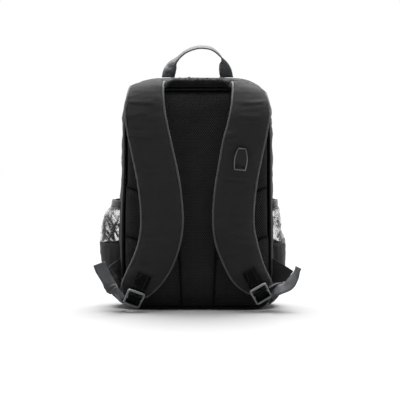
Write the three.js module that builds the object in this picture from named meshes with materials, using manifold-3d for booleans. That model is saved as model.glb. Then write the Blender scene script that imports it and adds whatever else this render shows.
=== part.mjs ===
// Laptop backpack. Millimetres, +Z up. The wearer's side with the shoulder straps faces -Y,
// and the origin lies on the floor under the middle of the bag's base.
import * as THREE from "three";
import { mergeVertices } from "three/addons/utils/BufferGeometryUtils.js";
import Module from "manifold-3d";

const wasm = await Module();
wasm.setup();

// Main bag
const HALF_WIDTH = 145;
const BAG_HEIGHT = 447;
const BAG_DEPTH = 120;
const BASE_ROUND = 32;
const TOP_ROUND = 64;
const TOP_CROWN = 3;
const CLOTH = 2.4;
const GAP = 0.3;

// Back panel and yoke
const PANEL_DROP = 17;
const PANEL_ROUND = 50;
const PANEL_BASE = 5;
const PAD_RISE = 6.5;
const PAD_SHOULDER = 26;
const GROOVE_WIDTH = 13;
const GROOVE_DEPTH = 5.5;
const PIPING = 4.4;
const YOKE_THICK = 14;
const YOKE_RISE = 5;

// Main zip
const ZIP_WIDTH = 13;
const ZIP_FOOT = 120;
const ZIP_MIDDLE = 14;
const TAPE_THICK = 1.2;
const SLIDER_LENGTH = 30;
const SLIDER_WIDTH = 9;
const SLIDER_THICK = 2.6;

// Shoulder straps
const STRAP_WIDTH = 82;
const STRAP_THICK = 13;
const STRAP_EDGE = 4.4;
const STRAP_REACH = 58;
const BINDING = 4.8;

// Webbing, buckles and patches
const WEBBING = 25;
const WEB_THICK = 1.6;
const PATCH_WIDTH = 27.6;
const PATCH_LENGTH = 34;
const BUCKLE_WIDTH = 36;
const BUCKLE_HEIGHT = 33;
const BUCKLE_THICK = 4.5;
const BUCKLE_SIDE = 3.6;
const BUCKLE_BAR = 4;
const WING_THICK = 2.2;
const WING_FOOT = 52;
const WING_HEIGHT = 48;

// Side pockets
const POCKET_TOP = 212;
const POCKET_FOOT = 6;
const POCKET_REAR = 50;
const POCKET_FRONT = 40;
const POCKET_BULGE = 38;
const COLLAR_HEIGHT = 14;
const POCKET_SEAM = 127;

// Grab handle
const HANDLE_HALF = 57;
const HANDLE_RISE = 59;
const HANDLE_THICK = 2.6;
const HANDLE_SETBACK = 12;
const HANDLE_LEAN = 15;

// Charging port on the right strap
const USB_HEIGHT = 299;
const USB_WIDTH = 26;
const USB_LENGTH = 43;
const USB_LEAN = 5.3;
const USB_THICK = 5;
const USB_RIM = 2;
const USB_SOCKET = 13;

// Front pocket
const FRONT_HALF = 98;
const FRONT_HEIGHT = 205;
const FRONT_FOOT = 34;
const FRONT_BULGE = 26;
const FRONT_ROUND = 34;

const REAR = -BAG_DEPTH / 2;
const FRONT = BAG_DEPTH / 2;
const PANEL_TOP = BAG_HEIGHT - PANEL_DROP;
const PANEL_FACE = REAR - GAP - PANEL_BASE - PAD_RISE;
const YOKE_FACE = REAR - GAP - YOKE_THICK;

// How far the bag's outline draws in as it goes from the rear rim (depth 0) to the front (depth 1):
// side as a share of HALF_WIDTH, top and low as shares of BAG_HEIGHT.
const FORM = [
  { depth: 0.0, side: 0.0, top: 0.0, low: 0.0 },
  { depth: 0.07, side: -0.02, top: -0.002, low: 0.0 },
  { depth: 0.26, side: -0.04, top: 0.0, low: 0.0 },
  { depth: 0.5, side: -0.036, top: 0.014, low: 0.0 },
  { depth: 0.72, side: -0.005, top: 0.036, low: 0.0 },
  { depth: 0.88, side: 0.05, top: 0.072, low: 0.004 },
  { depth: 0.97, side: 0.12, top: 0.118, low: 0.018 },
  { depth: 1.0, side: 0.22, top: 0.175, low: 0.05 },
];

// Half-widths at the rear rim by height, as shares of HALF_WIDTH: the cloth sags a little unevenly.
const SIDES = [
  { up: 0.0, left: 1.0, right: 1.0 },
  { up: 0.13, left: 1.02, right: 1.0 },
  { up: 0.3, left: 1.03, right: 1.0 },
  { up: 0.46, left: 1.015, right: 0.99 },
  { up: 0.56, left: 0.995, right: 0.985 },
  { up: 0.69, left: 0.985, right: 0.985 },
  { up: 0.8, left: 0.99, right: 0.975 },
  { up: 0.9, left: 0.98, right: 0.965 },
  { up: 1.0, left: 0.98, right: 0.96 },
];

// Grooves sewn into the back panel, each from the side seam (edge) to the spine column (spine).
const CHEVRONS = [
  { edgeUp: 0.536, spineUp: 0.43, spineAcross: 0.3 },
  { edgeUp: 0.322, spineUp: 0.222, spineAcross: 0.25 },
];

// The two channels beside the spine column, from its head under the straps to the base.
const SPINE = [
  { across: 0.3, up: 0.43 },
  { across: 0.27, up: 0.33 },
  { across: 0.243, up: 0.22 },
  { across: 0.225, up: 0.1 },
  { across: 0.21, up: 0.0 },
];

// Crumples along the yoke's top edge: rise as a share of YOKE_RISE.
const CRUMPLES = [
  { across: -0.9, rise: -0.4 },
  { across: -0.83, rise: -0.3 },
  { across: -0.74, rise: -0.1 },
  { across: -0.62, rise: 0.0 },
  { across: -0.42, rise: 0.5 },
  { across: -0.31, rise: 0.95 },
  { across: -0.22, rise: 0.3 },
  { across: -0.12, rise: 0.75 },
  { across: 0.02, rise: 0.6 },
  { across: 0.1, rise: 0.1 },
  { across: 0.16, rise: 0.15 },
  { across: 0.22, rise: 1.0 },
  { across: 0.27, rise: 0.55 },
  { across: 0.33, rise: 1.0 },
  { across: 0.42, rise: 0.5 },
  { across: 0.62, rise: 0.0 },
  { across: 0.74, rise: -0.1 },
  { across: 0.83, rise: -0.3 },
  { across: 0.9, rise: -0.4 },
];

// Middle line of each shoulder strap from its root to its end: across as a share of HALF_WIDTH, up of
// BAG_HEIGHT, out of STRAP_REACH, wide of STRAP_WIDTH, and tilt in degrees of the outer edge.
const STRAP_ROWS = {
  left: [
    { across: 0.64, up: 0.962, out: 0.06, tilt: -10, wide: 0.86 },
    { across: 0.65, up: 0.976, out: 0.25, tilt: -9, wide: 0.86 },
    { across: 0.664, up: 0.974, out: 0.52, tilt: -9, wide: 0.86 },
    { across: 0.677, up: 0.952, out: 0.76, tilt: -10, wide: 0.88 },
    { across: 0.687, up: 0.912, out: 0.92, tilt: -7.4, wide: 0.92 },
    { across: 0.686, up: 0.86, out: 1.0, tilt: -4.2, wide: 0.96 },
    { across: 0.664, up: 0.808, out: 1.0, tilt: -1.3, wide: 1.0 },
    { across: 0.621, up: 0.738, out: 0.94, tilt: 0, wide: 1.01 },
    { across: 0.565, up: 0.651, out: 0.83, tilt: 0, wide: 1.02 },
    { across: 0.512, up: 0.565, out: 0.73, tilt: 0, wide: 1.02 },
    { across: 0.48, up: 0.478, out: 0.65, tilt: 0, wide: 1.02 },
    { across: 0.467, up: 0.407, out: 0.59, tilt: 1.3, wide: 1.03 },
    { across: 0.477, up: 0.344, out: 0.55, tilt: 5.3, wide: 1.02 },
    { across: 0.522, up: 0.274, out: 0.51, tilt: 10.2, wide: 1.0 },
    { across: 0.597, up: 0.209, out: 0.47, tilt: 15.9, wide: 0.98 },
    { across: 0.701, up: 0.149, out: 0.43, tilt: 17.5, wide: 0.93 },
    { across: 0.79, up: 0.106, out: 0.4, tilt: 17.7, wide: 0.82 },
    { across: 0.849, up: 0.079, out: 0.38, tilt: 17.4, wide: 0.67 },
  ],
  right: [
    { across: 0.65, up: 0.952, out: 0.06, tilt: -15, wide: 0.85 },
    { across: 0.665, up: 0.965, out: 0.25, tilt: -16, wide: 0.85 },
    { across: 0.679, up: 0.96, out: 0.52, tilt: -17, wide: 0.86 },
    { across: 0.689, up: 0.933, out: 0.76, tilt: -13, wide: 0.88 },
    { across: 0.694, up: 0.894, out: 0.92, tilt: -7.3, wide: 0.92 },
    { across: 0.686, up: 0.852, out: 1.0, tilt: -5.6, wide: 0.96 },
    { across: 0.661, up: 0.808, out: 1.0, tilt: -2.8, wide: 0.98 },
    { across: 0.612, up: 0.738, out: 0.94, tilt: -2, wide: 1.02 },
    { across: 0.567, up: 0.662, out: 0.83, tilt: -1.3, wide: 1.01 },
    { across: 0.521, up: 0.58, out: 0.73, tilt: -1, wide: 1.0 },
    { across: 0.488, up: 0.5, out: 0.65, tilt: 0, wide: 1.0 },
    { across: 0.472, up: 0.424, out: 0.59, tilt: 1.4, wide: 1.0 },
    { across: 0.479, up: 0.355, out: 0.55, tilt: 6.8, wide: 1.0 },
    { across: 0.51, up: 0.301, out: 0.51, tilt: 10.9, wide: 1.0 },
    { across: 0.584, up: 0.228, out: 0.47, tilt: 14, wide: 0.94 },
    { across: 0.684, up: 0.155, out: 0.43, tilt: 20, wide: 0.87 },
    { across: 0.776, up: 0.119, out: 0.4, tilt: 24, wide: 0.76 },
    { across: 0.834, up: 0.1, out: 0.38, tilt: 27, wide: 0.61 },
  ],
};

// Half the strap's thickness over its width (share 1 is the edge), as a share of the full swell.
const STRAP_SWELL = [
  { over: 0.0, swell: 1.0 },
  { over: 0.5, swell: 0.92 },
  { over: 0.84, swell: 0.5 },
  { over: 1.0, swell: 0.0 },
];

// Each buckle hangs below its strap's end: shift as a share of BUCKLE_WIDTH and drop of BUCKLE_HEIGHT. In
// degrees, it leans outwards, tips its lower end back towards the bag and turns its outer side forward.
const BUCKLE_SEATS = {
  left: { shift: 0.031, drop: 0.273, lean: 25, tip: 14, turn: 15 },
  right: { shift: 0.019, drop: 0.279, lean: 28, tip: 12, turn: -6 },
};

// Webbing from the wing to the back of the buckle (load), and the free tail, measured from the
// buckle's middle in widths of webbing: out sideways, back towards the bag and rise. The face columns
// give the direction across the webbing: sideways, towards the wearer and up.
const LOAD_ROWS = {
  left: [
    { out: 1.87, back: 1.00, rise: 1.74, faceOut: -0.60, faceFront: 0.05, faceUp: -0.80 },
    { out: 2.05, back: 0.80, rise: 1.49, faceOut: -0.86, faceFront: -0.10, faceUp: -0.50 },
    { out: 1.92, back: 0.64, rise: 1.10, faceOut: -0.80, faceFront: -0.60, faceUp: -0.05 },
    { out: 1.61, back: 0.68, rise: 0.76, faceOut: -0.43, faceFront: -0.81, faceUp: 0.40 },
    { out: 1.30, back: 0.68, rise: 0.50, faceOut: -0.20, faceFront: -0.95, faceUp: 0.25 },
    { out: 1.04, back: 0.70, rise: 0.21, faceOut: -0.15, faceFront: -0.98, faceUp: 0.15 },
    { out: 0.84, back: 0.70, rise: -0.02, faceOut: -0.10, faceFront: -0.98, faceUp: 0.15 },
  ],
  right: [
    { out: 2.24, back: 1.20, rise: 1.14, faceOut: 0.58, faceFront: 0.05, faceUp: 0.81 },
    { out: 2.20, back: 0.98, rise: 1.06, faceOut: 0.51, faceFront: 0.30, faceUp: 0.81 },
    { out: 1.92, back: 0.96, rise: 0.77, faceOut: 0.20, faceFront: 0.93, faceUp: 0.30 },
    { out: 1.44, back: 0.88, rise: 0.73, faceOut: 0.00, faceFront: 1.00, faceUp: 0.04 },
    { out: 1.03, back: 0.78, rise: 0.62, faceOut: 0.05, faceFront: 1.00, faceUp: 0.06 },
    { out: 0.66, back: 0.78, rise: 0.37, faceOut: 0.10, faceFront: 0.99, faceUp: 0.10 },
  ],
};
const TAIL_ROWS = {
  left: [
    { out: 0.84, back: 0.66, rise: -0.46, faceOut: -0.10, faceFront: 0.98, faceUp: 0.20 },
    { out: 1.05, back: 0.56, rise: -0.25, faceOut: -0.20, faceFront: 0.96, faceUp: 0.20 },
    { out: 1.22, back: 0.28, rise: 0.10, faceOut: -0.25, faceFront: 0.95, faceUp: 0.20 },
    { out: 1.36, back: 0.08, rise: 0.48, faceOut: -0.46, faceFront: 0.84, faceUp: 0.28 },
    { out: 1.68, back: 0.04, rise: 0.76, faceOut: -0.89, faceFront: 0.10, faceUp: 0.44 },
    { out: 2.00, back: 0.00, rise: 1.36, faceOut: -0.78, faceFront: -0.61, faceUp: 0.15 },
    { out: 2.30, back: -0.04, rise: 1.93, faceOut: -0.82, faceFront: -0.50, faceUp: 0.27 },
    { out: 2.52, back: -0.06, rise: 2.35, faceOut: -0.74, faceFront: -0.43, faceUp: 0.53 },
    { out: 2.64, back: -0.08, rise: 2.72, faceOut: -0.67, faceFront: -0.32, faceUp: 0.66 },
  ],
  right: [
    { out: 0.80, back: 0.48, rise: -0.23, faceOut: 0.00, faceFront: 0.05, faceUp: 1.00 },
    { out: 1.02, back: 0.20, rise: 0.13, faceOut: -0.05, faceFront: -0.63, faceUp: 0.78 },
    { out: 1.37, back: 0.04, rise: 0.32, faceOut: -0.10, faceFront: -0.71, faceUp: 0.69 },
    { out: 1.84, back: -0.08, rise: 0.48, faceOut: -0.30, faceFront: -0.81, faceUp: 0.51 },
    { out: 2.22, back: -0.16, rise: 0.77, faceOut: -0.50, faceFront: -0.70, faceUp: 0.50 },
    { out: 2.49, back: -0.16, rise: 1.16, faceOut: -0.51, faceFront: -0.83, faceUp: 0.22 },
    { out: 2.67, back: -0.08, rise: 1.52, faceOut: -0.36, faceFront: -0.92, faceUp: 0.15 },
    { out: 2.79, back: -0.08, rise: 1.82, faceOut: -0.28, faceFront: -0.96, faceUp: 0.08 },
    { out: 2.86, back: -0.08, rise: 2.05, faceOut: -0.36, faceFront: -0.93, faceUp: 0.00 },
  ],
};

// How far each side pocket stands out by height: up as a share of POCKET_TOP, the rest of POCKET_BULGE.
const POCKET_ROWS = [
  { up: 0.0, left: 0.1, right: 0.06 },
  { up: 0.05, left: 0.32, right: 0.2 },
  { up: 0.14, left: 0.6, right: 0.38 },
  { up: 0.28, left: 0.82, right: 0.52 },
  { up: 0.46, left: 0.94, right: 0.6 },
  { up: 0.6, left: 0.97, right: 0.54 },
  { up: 0.66, left: 0.95, right: 0.44 },
  { up: 0.73, left: 0.91, right: 0.26 },
  { up: 0.79, left: 0.84, right: 0.33 },
  { up: 0.85, left: 0.74, right: 0.34 },
  { up: 0.9, left: 0.58, right: 0.24 },
  { up: 0.94, left: 0.36, right: 0.15 },
  { up: 1.0, left: 0.34, right: 0.13 },
];

// Half of the handle from its foot to the top: across of HANDLE_HALF, rise of HANDLE_RISE, and turn in
// degrees from lying flat towards the wearer to lying flat on top.
const HANDLE_ROWS = {
  left: [
    { across: -1.0, rise: 0.0, turn: 0 },
    { across: -0.965, rise: 0.17, turn: 5 },
    { across: -0.912, rise: 0.3, turn: 28 },
    { across: -0.857, rise: 0.435, turn: 50 },
    { across: -0.795, rise: 0.52, turn: 67 },
    { across: -0.7, rise: 0.6, turn: 82 },
    { across: -0.563, rise: 0.725, turn: 90 },
    { across: -0.39, rise: 0.85, turn: 90 },
    { across: -0.2, rise: 0.935, turn: 90 },
  ],
  right: [
    { across: 0.09, rise: 1.0, turn: 90 },
    { across: 0.4, rise: 0.967, turn: 90 },
    { across: 0.557, rise: 0.9, turn: 88 },
    { across: 0.705, rise: 0.775, turn: 86 },
    { across: 0.815, rise: 0.65, turn: 84 },
    { across: 0.865, rise: 0.55, turn: 74 },
    { across: 0.887, rise: 0.435, turn: 50 },
    { across: 0.94, rise: 0.24, turn: 22 },
    { across: 1.0, rise: 0.0, turn: 0 },
  ],
};

// Swell of the front pocket from its rim to its face: out of FRONT_BULGE, inset of FRONT_HALF.
const FRONT_FORM = [
  { out: 0.0, inset: 0.0 },
  { out: 0.35, inset: 0.0 },
  { out: 0.7, inset: 0.04 },
  { out: 0.93, inset: 0.13 },
  { out: 1.0, inset: 0.3 },
];

const radians = THREE.MathUtils.degToRad;
const v3 = (x, y, z) => new THREE.Vector3(x, y, z);

// A value read off a table, between its rows by a straight line.
function readTable(rows, key, at, column) {
  const last = rows.length - 1;
  if (at <= rows[0][key]) return rows[0][column];
  if (at >= rows[last][key]) return rows[last][column];
  const next = rows.findIndex((row) => row[key] >= at);
  const low = rows[next - 1];
  const high = rows[next];
  return THREE.MathUtils.mapLinear(at, low[key], high[key], low[column], high[column]);
}

// Turns triangles over a list of points into a closed body that faces out.
function closedBody(points, faces) {
  const geometry = new THREE.BufferGeometry();
  let volume = 0;
  for (const [a, b, c] of faces) volume += points[a].dot(points[b].clone().cross(points[c]));
  const index = volume < 0 ? faces.flatMap(([a, b, c]) => [a, c, b]) : faces.flat();
  const places = points.flatMap((p) => [p.x, p.y, p.z]);
  geometry.setAttribute("position", new THREE.Float32BufferAttribute(places, 3));
  geometry.setIndex(index);
  return geometry;
}

// A solid through rings with equally many points. Each end is closed round its middle.
function loft(rings) {
  const size = rings[0].length;
  const points = rings.flat();
  const faces = [];
  for (let r = 0; r + 1 < rings.length; r += 1) {
    for (let i = 0; i < size; i += 1) {
      const j = (i + 1) % size;
      faces.push([r * size + i, r * size + j, (r + 1) * size + j]);
      faces.push([r * size + i, (r + 1) * size + j, (r + 1) * size + i]);
    }
  }
  const close = (ring, first, turned) => {
    const middle = ring.reduce((sum, p) => sum.add(p), v3(0, 0, 0)).divideScalar(size);
    points.push(middle);
    for (let i = 0; i < size; i += 1) {
      const pair = [first + i, first + ((i + 1) % size)];
      faces.push(turned ? [pair[1], pair[0], points.length - 1] : [...pair, points.length - 1]);
    }
  };
  close(rings[0], 0, true);
  close(rings[rings.length - 1], (rings.length - 1) * size, false);
  return closedBody(points, faces);
}

// A ring-shaped solid through sections that come back to the first one.
function loftLoop(sections) {
  const size = sections[0].length;
  const faces = [];
  sections.forEach((section, r) => {
    const next = (r + 1) % sections.length;
    for (let i = 0; i < size; i += 1) {
      const j = (i + 1) % size;
      faces.push([r * size + i, r * size + j, next * size + j]);
      faces.push([r * size + i, next * size + j, next * size + i]);
    }
  });
  return closedBody(sections.flat(), faces);
}

// A sheet with thickness between two grids of points that have the same rows and columns.
function sheet(front, back) {
  const rows = front.length;
  const columns = front[0].length;
  const points = [...front.flat(), ...back.flat()];
  const offset = rows * columns;
  const faces = [];
  const quad = (a, b, c, d) => faces.push([a, b, c], [a, c, d]);
  for (let r = 0; r + 1 < rows; r += 1) {
    for (let c = 0; c + 1 < columns; c += 1) {
      const a = r * columns + c;
      quad(a, a + 1, a + columns + 1, a + columns);
      quad(offset + a, offset + a + columns, offset + a + columns + 1, offset + a + 1);
    }
  }
  const border = [];
  for (let c = 0; c < columns; c += 1) border.push(c);
  for (let r = 1; r < rows; r += 1) border.push(r * columns + columns - 1);
  for (let c = columns - 2; c >= 0; c -= 1) border.push((rows - 1) * columns + c);
  for (let r = rows - 2; r > 0; r -= 1) border.push(r * columns);
  border.forEach((a, i) => {
    const b = border[(i + 1) % border.length];
    quad(b, a, offset + a, offset + b);
  });
  return closedBody(points, faces);
}

// Closed meshes to solids and back, for cuts and joins.
function toSolid(geometry) {
  const bare = geometry.clone();
  bare.deleteAttribute("normal");
  bare.deleteAttribute("uv");
  const merged = mergeVertices(bare, 1e-4);
  return new wasm.Manifold(
    new wasm.Mesh({
      numProp: 3,
      vertProperties: Float32Array.from(merged.attributes.position.array),
      triVerts: Uint32Array.from(merged.index.array),
    }),
  );
}

function toGeometry(solid) {
  const mesh = solid.getMesh();
  const geometry = new THREE.BufferGeometry();
  geometry.setAttribute("position", new THREE.Float32BufferAttribute(mesh.vertProperties, 3));
  geometry.setIndex([...mesh.triVerts]);
  return geometry;
}

function boxBetween(low, high) {
  const size = high.clone().sub(low);
  const middle = low.clone().add(high).multiplyScalar(0.5);
  return new THREE.BoxGeometry(size.x, size.y, size.z).translate(middle.x, middle.y, middle.z);
}

// Outline of the bag, a rounded rectangle sampled evenly part by part: half a base, corner, side, corner,
// top, and back down. Its sides follow the SIDES table and its top is crowned.
const OUTLINE_STEPS = [2, 4, 8, 4, 6, 4, 8, 4, 2];
const PLAIN_STEPS = [1, 4, 1, 4, 1, 4, 1, 4, 1];

function roundedOutline(half, low, high, lowRound, highRound, steps = OUTLINE_STEPS) {
  const path = new THREE.Path();
  path.moveTo(0, low);
  path.lineTo(half - lowRound, low);
  path.absarc(half - lowRound, low + lowRound, lowRound, -Math.PI / 2, 0);
  path.lineTo(half, high - highRound);
  path.absarc(half - highRound, high - highRound, highRound, 0, Math.PI / 2);
  path.lineTo(highRound - half, high);
  path.absarc(highRound - half, high - highRound, highRound, Math.PI / 2, Math.PI);
  path.lineTo(-half, low + lowRound);
  path.absarc(lowRound - half, low + lowRound, lowRound, Math.PI, Math.PI * 1.5);
  path.lineTo(0, low);
  const curves = path.curves.filter((curve) => curve.getLength() > 1e-6);
  return curves.flatMap((curve, i) => curve.getPoints(steps[i]).slice(0, -1));
}

const sideShare = (x, z) => readTable(SIDES, "up", z / BAG_HEIGHT, x < 0 ? "left" : "right");

function bagRing(depth, inset, y) {
  const half = HALF_WIDTH * (1 - readTable(FORM, "depth", depth, "side")) - inset;
  const low = BAG_HEIGHT * readTable(FORM, "depth", depth, "low") + inset;
  const high = BAG_HEIGHT * (1 - readTable(FORM, "depth", depth, "top")) - inset;
  const round = 1 + readTable(FORM, "depth", depth, "side");
  const outline = roundedOutline(half, low, high, BASE_ROUND * round - inset, TOP_ROUND * round - inset);
  return outline.map((p) => {
    const crown = p.y > BAG_HEIGHT / 2 ? TOP_CROWN * (1 - (p.x / half) ** 2) : 0;
    return v3(p.x * sideShare(p.x, p.y), y, p.y + crown);
  });
}

// Half-width of the bag's cloth on one side at a height and a depth share.
function bagHalf(side, z, depth) {
  const half = HALF_WIDTH * (1 - readTable(FORM, "depth", depth, "side"));
  const round = BASE_ROUND * (1 + readTable(FORM, "depth", depth, "side"));
  const inCorner = Math.max(0, round - z);
  const drawnIn = round - Math.sqrt(round ** 2 - inCorner ** 2);
  return (half - drawnIn) * sideShare(side, z);
}

const bagTop = (depth) => BAG_HEIGHT * (1 - readTable(FORM, "depth", depth, "top")) + TOP_CROWN;

// The bag's cloth as a tub that is open towards the wearer, moved out and given a wall.
function tub(proud, wall) {
  const outer = FORM.map((row) => bagRing(row.depth, -proud, REAR + row.depth * (BAG_DEPTH + proud)));
  const inner = FORM.map((row) =>
    bagRing(row.depth, wall - proud, REAR + row.depth * (BAG_DEPTH + proud - wall)),
  );
  return loft([...outer.reverse(), ...inner]);
}

function slab(from, to, foot) {
  const reach = 2 * HALF_WIDTH;
  return toSolid(boxBetween(v3(-reach, from, foot), v3(reach, to, BAG_HEIGHT * 1.5)));
}

function bodyShell() {
  const slot = slab(ZIP_MIDDLE - ZIP_WIDTH / 2, ZIP_MIDDLE + ZIP_WIDTH / 2, ZIP_FOOT);
  return toGeometry(toSolid(tub(0, CLOTH)).subtract(slot));
}

// Zip tape that fills the slot.
function mainZip() {
  const half = ZIP_WIDTH / 2 - GAP;
  const band = slab(ZIP_MIDDLE - half, ZIP_MIDDLE + half, ZIP_FOOT + GAP);
  return toGeometry(toSolid(tub(-CLOTH / 4, TAPE_THICK)).intersect(band));
}

// A slider with its pull lying back on the zip's coil.
function zipSlider() {
  const shape = new THREE.Shape();
  const half = SLIDER_WIDTH / 2;
  shape.moveTo(-half * 0.6, 0);
  shape.lineTo(half * 0.6, 0);
  shape.lineTo(half, SLIDER_LENGTH * 0.3);
  shape.lineTo(half * 0.8, SLIDER_LENGTH * 0.94);
  shape.lineTo(half * 0.4, SLIDER_LENGTH);
  shape.lineTo(-half * 0.4, SLIDER_LENGTH);
  shape.lineTo(-half * 0.8, SLIDER_LENGTH * 0.94);
  shape.lineTo(-half, SLIDER_LENGTH * 0.3);
  shape.closePath();
  const bevel = SLIDER_THICK / 5;
  return new THREE.ExtrudeGeometry(shape, {
    depth: SLIDER_THICK - 2 * bevel,
    bevelThickness: bevel,
    bevelSize: bevel,
    bevelOffset: -bevel,
    bevelSegments: 1,
  }).translate(0, 0, bevel);
}

// Padded back panel: a slab with a rounded shoulder, with the sewn grooves cut into it.
function panelRing(inset, y) {
  const outline = roundedOutline(
    HALF_WIDTH - inset,
    inset,
    PANEL_TOP - inset,
    BASE_ROUND - inset * 0.7,
    PANEL_ROUND - inset * 0.7,
  );
  return outline.map((p) => v3(p.x * sideShare(p.x, p.y), y, p.y));
}

function groove(route) {
  const curve = new THREE.CatmullRomCurve3(route);
  const count = 2 * route.length;
  const sections = [];
  for (let i = 0; i <= count; i += 1) {
    const middle = curve.getPoint(i / count);
    const along = curve.getTangent(i / count);
    const across = v3(-along.z, 0, along.x).normalize();
    const corner = (share, lift) => middle.clone().addScaledVector(across, share * GROOVE_WIDTH).setY(lift);
    const open = PANEL_FACE - PAD_RISE;
    const floor = PANEL_FACE + GROOVE_DEPTH;
    sections.push([
      corner(-0.7, open),
      corner(-0.5, PANEL_FACE),
      corner(-0.24, PANEL_FACE + GROOVE_DEPTH * 0.35),
      corner(-0.1, floor),
      corner(0.1, floor),
      corner(0.24, PANEL_FACE + GROOVE_DEPTH * 0.35),
      corner(0.5, PANEL_FACE),
      corner(0.7, open),
    ]);
  }
  return toSolid(loft(sections));
}

function backPanel() {
  const edge = PIPING + GAP;
  const rear = REAR - GAP;
  const rings = [
    panelRing(edge + PAD_SHOULDER * 2, rear),
    panelRing(edge + PAD_SHOULDER, rear),
    panelRing(edge, rear),
    panelRing(edge, rear - PANEL_BASE),
    panelRing(edge + PAD_SHOULDER * 0.12, rear - PANEL_BASE - PAD_RISE * 0.42),
    panelRing(edge + PAD_SHOULDER * 0.4, rear - PANEL_BASE - PAD_RISE * 0.78),
    panelRing(edge + PAD_SHOULDER, PANEL_FACE),
    panelRing(edge + PAD_SHOULDER * 2, PANEL_FACE),
  ];
  let panel = toSolid(loft(rings));
  for (const side of [-1, 1]) {
    for (const row of CHEVRONS) {
      const edgeX = HALF_WIDTH * 1.1;
      const route = [
        v3(side * edgeX, PANEL_FACE, row.edgeUp * BAG_HEIGHT + GROOVE_WIDTH * 0.2),
        v3(side * HALF_WIDTH * 0.86, PANEL_FACE, (row.edgeUp * 0.92 + row.spineUp * 0.08) * BAG_HEIGHT),
        v3(side * HALF_WIDTH * row.spineAcross, PANEL_FACE, row.spineUp * BAG_HEIGHT),
      ];
      panel = panel.subtract(groove(route));
    }
    const channel = SPINE.map((row) => v3(side * row.across * HALF_WIDTH, PANEL_FACE, row.up * BAG_HEIGHT));
    channel.push(channel[channel.length - 1].clone().setZ(-GROOVE_WIDTH));
    panel = panel.subtract(groove(channel));
  }
  return toGeometry(panel);
}

// Piping in the corner between the back panel and the bag's rim.
function panelBinding() {
  const inner = panelRing(PIPING, REAR - GAP);
  const outer = panelRing(0, REAR - GAP);
  return loftLoop(
    inner.map((p, i) => {
      const rise = (share) => -PANEL_BASE * share;
      const mid = p.clone().lerp(outer[i], 0.5);
      return [
        p.clone(),
        p.clone().setY(p.y + rise(0.75)),
        mid.setY(p.y + rise(1)),
        outer[i].clone().setY(p.y + rise(0.7)),
        outer[i].clone(),
      ];
    }),
  );
}

// Top edge of a rounded outline at a place across.
function topEdge(half, high, round, x) {
  const past = Math.max(0, Math.abs(x) - (half - round));
  return high - round + Math.sqrt(round ** 2 - Math.min(past, round) ** 2);
}

// Padded roll between the back panel and the top, with a crumpled upper edge.
function yoke() {
  const rings = CRUMPLES.map((row) => {
    const x = row.across * HALF_WIDTH;
    const top = topEdge(HALF_WIDTH, BAG_HEIGHT, TOP_ROUND, x) + row.rise * YOKE_RISE;
    const foot = topEdge(HALF_WIDTH, PANEL_TOP, PANEL_ROUND, x) + 2 * GAP;
    const at = (back, up) =>
      v3(x, REAR - GAP - back * YOKE_THICK, THREE.MathUtils.lerp(foot, top, up));
    return [at(0, 0), at(0.7, 0.02), at(0.97, 0.22), at(1, 0.55), at(0.8, 0.86), at(0.4, 1), at(0, 0.98)];
  });
  return loft(rings);
}

// Points and directions along a table of rows, smoothed by splines: place and across for each step.
function smoothRoute(places, acrosses, perRow) {
  const route = new THREE.CatmullRomCurve3(places);
  const facing = new THREE.CatmullRomCurve3(acrosses);
  const count = (places.length - 1) * perRow;
  return Array.from({ length: count + 1 }, (unused, i) => ({
    place: route.getPoint(i / count),
    along: route.getTangent(i / count),
    across: facing.getPoint(i / count).normalize(),
  }));
}

// Frames down the middle of a shoulder strap. Width is that of the padded core inside the binding.
function strapFrames(name, perRow) {
  const side = name === "left" ? -1 : 1;
  const rows = STRAP_ROWS[name];
  const places = rows.map((row) =>
    v3(side * row.across * HALF_WIDTH, PANEL_FACE - row.out * STRAP_REACH, row.up * BAG_HEIGHT),
  );
  places[0].y = Math.min(places[0].y, YOKE_FACE - GAP);
  const acrosses = rows.map((row) => v3(side * Math.cos(radians(row.tilt)), 0, Math.sin(radians(row.tilt))));
  return smoothRoute(places, acrosses, perRow).map((frame, i) => {
    const row = Math.min(i / perRow, rows.length - 1);
    const low = rows[Math.floor(row)];
    const high = rows[Math.ceil(row)];
    const wide = THREE.MathUtils.lerp(low.wide, high.wide, row - Math.floor(row)) * STRAP_WIDTH;
    const along = i === 0 ? v3(0, -1, 0) : frame.along;
    const normal = along.clone().cross(frame.across).multiplyScalar(side).normalize();
    const swell = ((STRAP_THICK - STRAP_EDGE) / 2) * Math.min(1, (wide / STRAP_WIDTH) ** 2 * 1.3);
    return { ...frame, along, normal, swell, core: wide - 2 * (BINDING + GAP) };
  });
}

function strapSection(frame) {
  const { swell } = frame;
  const half = frame.core / 2;
  const at = (over, lift) =>
    frame.place.clone().addScaledVector(frame.across, over * half).addScaledVector(frame.normal, lift);
  const outwards = [...STRAP_SWELL].reverse().map((row) => [-row.over, row.swell]);
  const profile = [...outwards, ...STRAP_SWELL.slice(1).map((row) => [row.over, row.swell])];
  const face = profile.map(([over, share]) => at(over, STRAP_EDGE / 2 + share * swell));
  const back = profile.map(([over, share]) => at(over, -STRAP_EDGE / 2 - share * swell)).reverse();
  return [...face, ...back];
}

function strap(name) {
  return loft(strapFrames(name, 2).map(strapSection));
}

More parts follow.
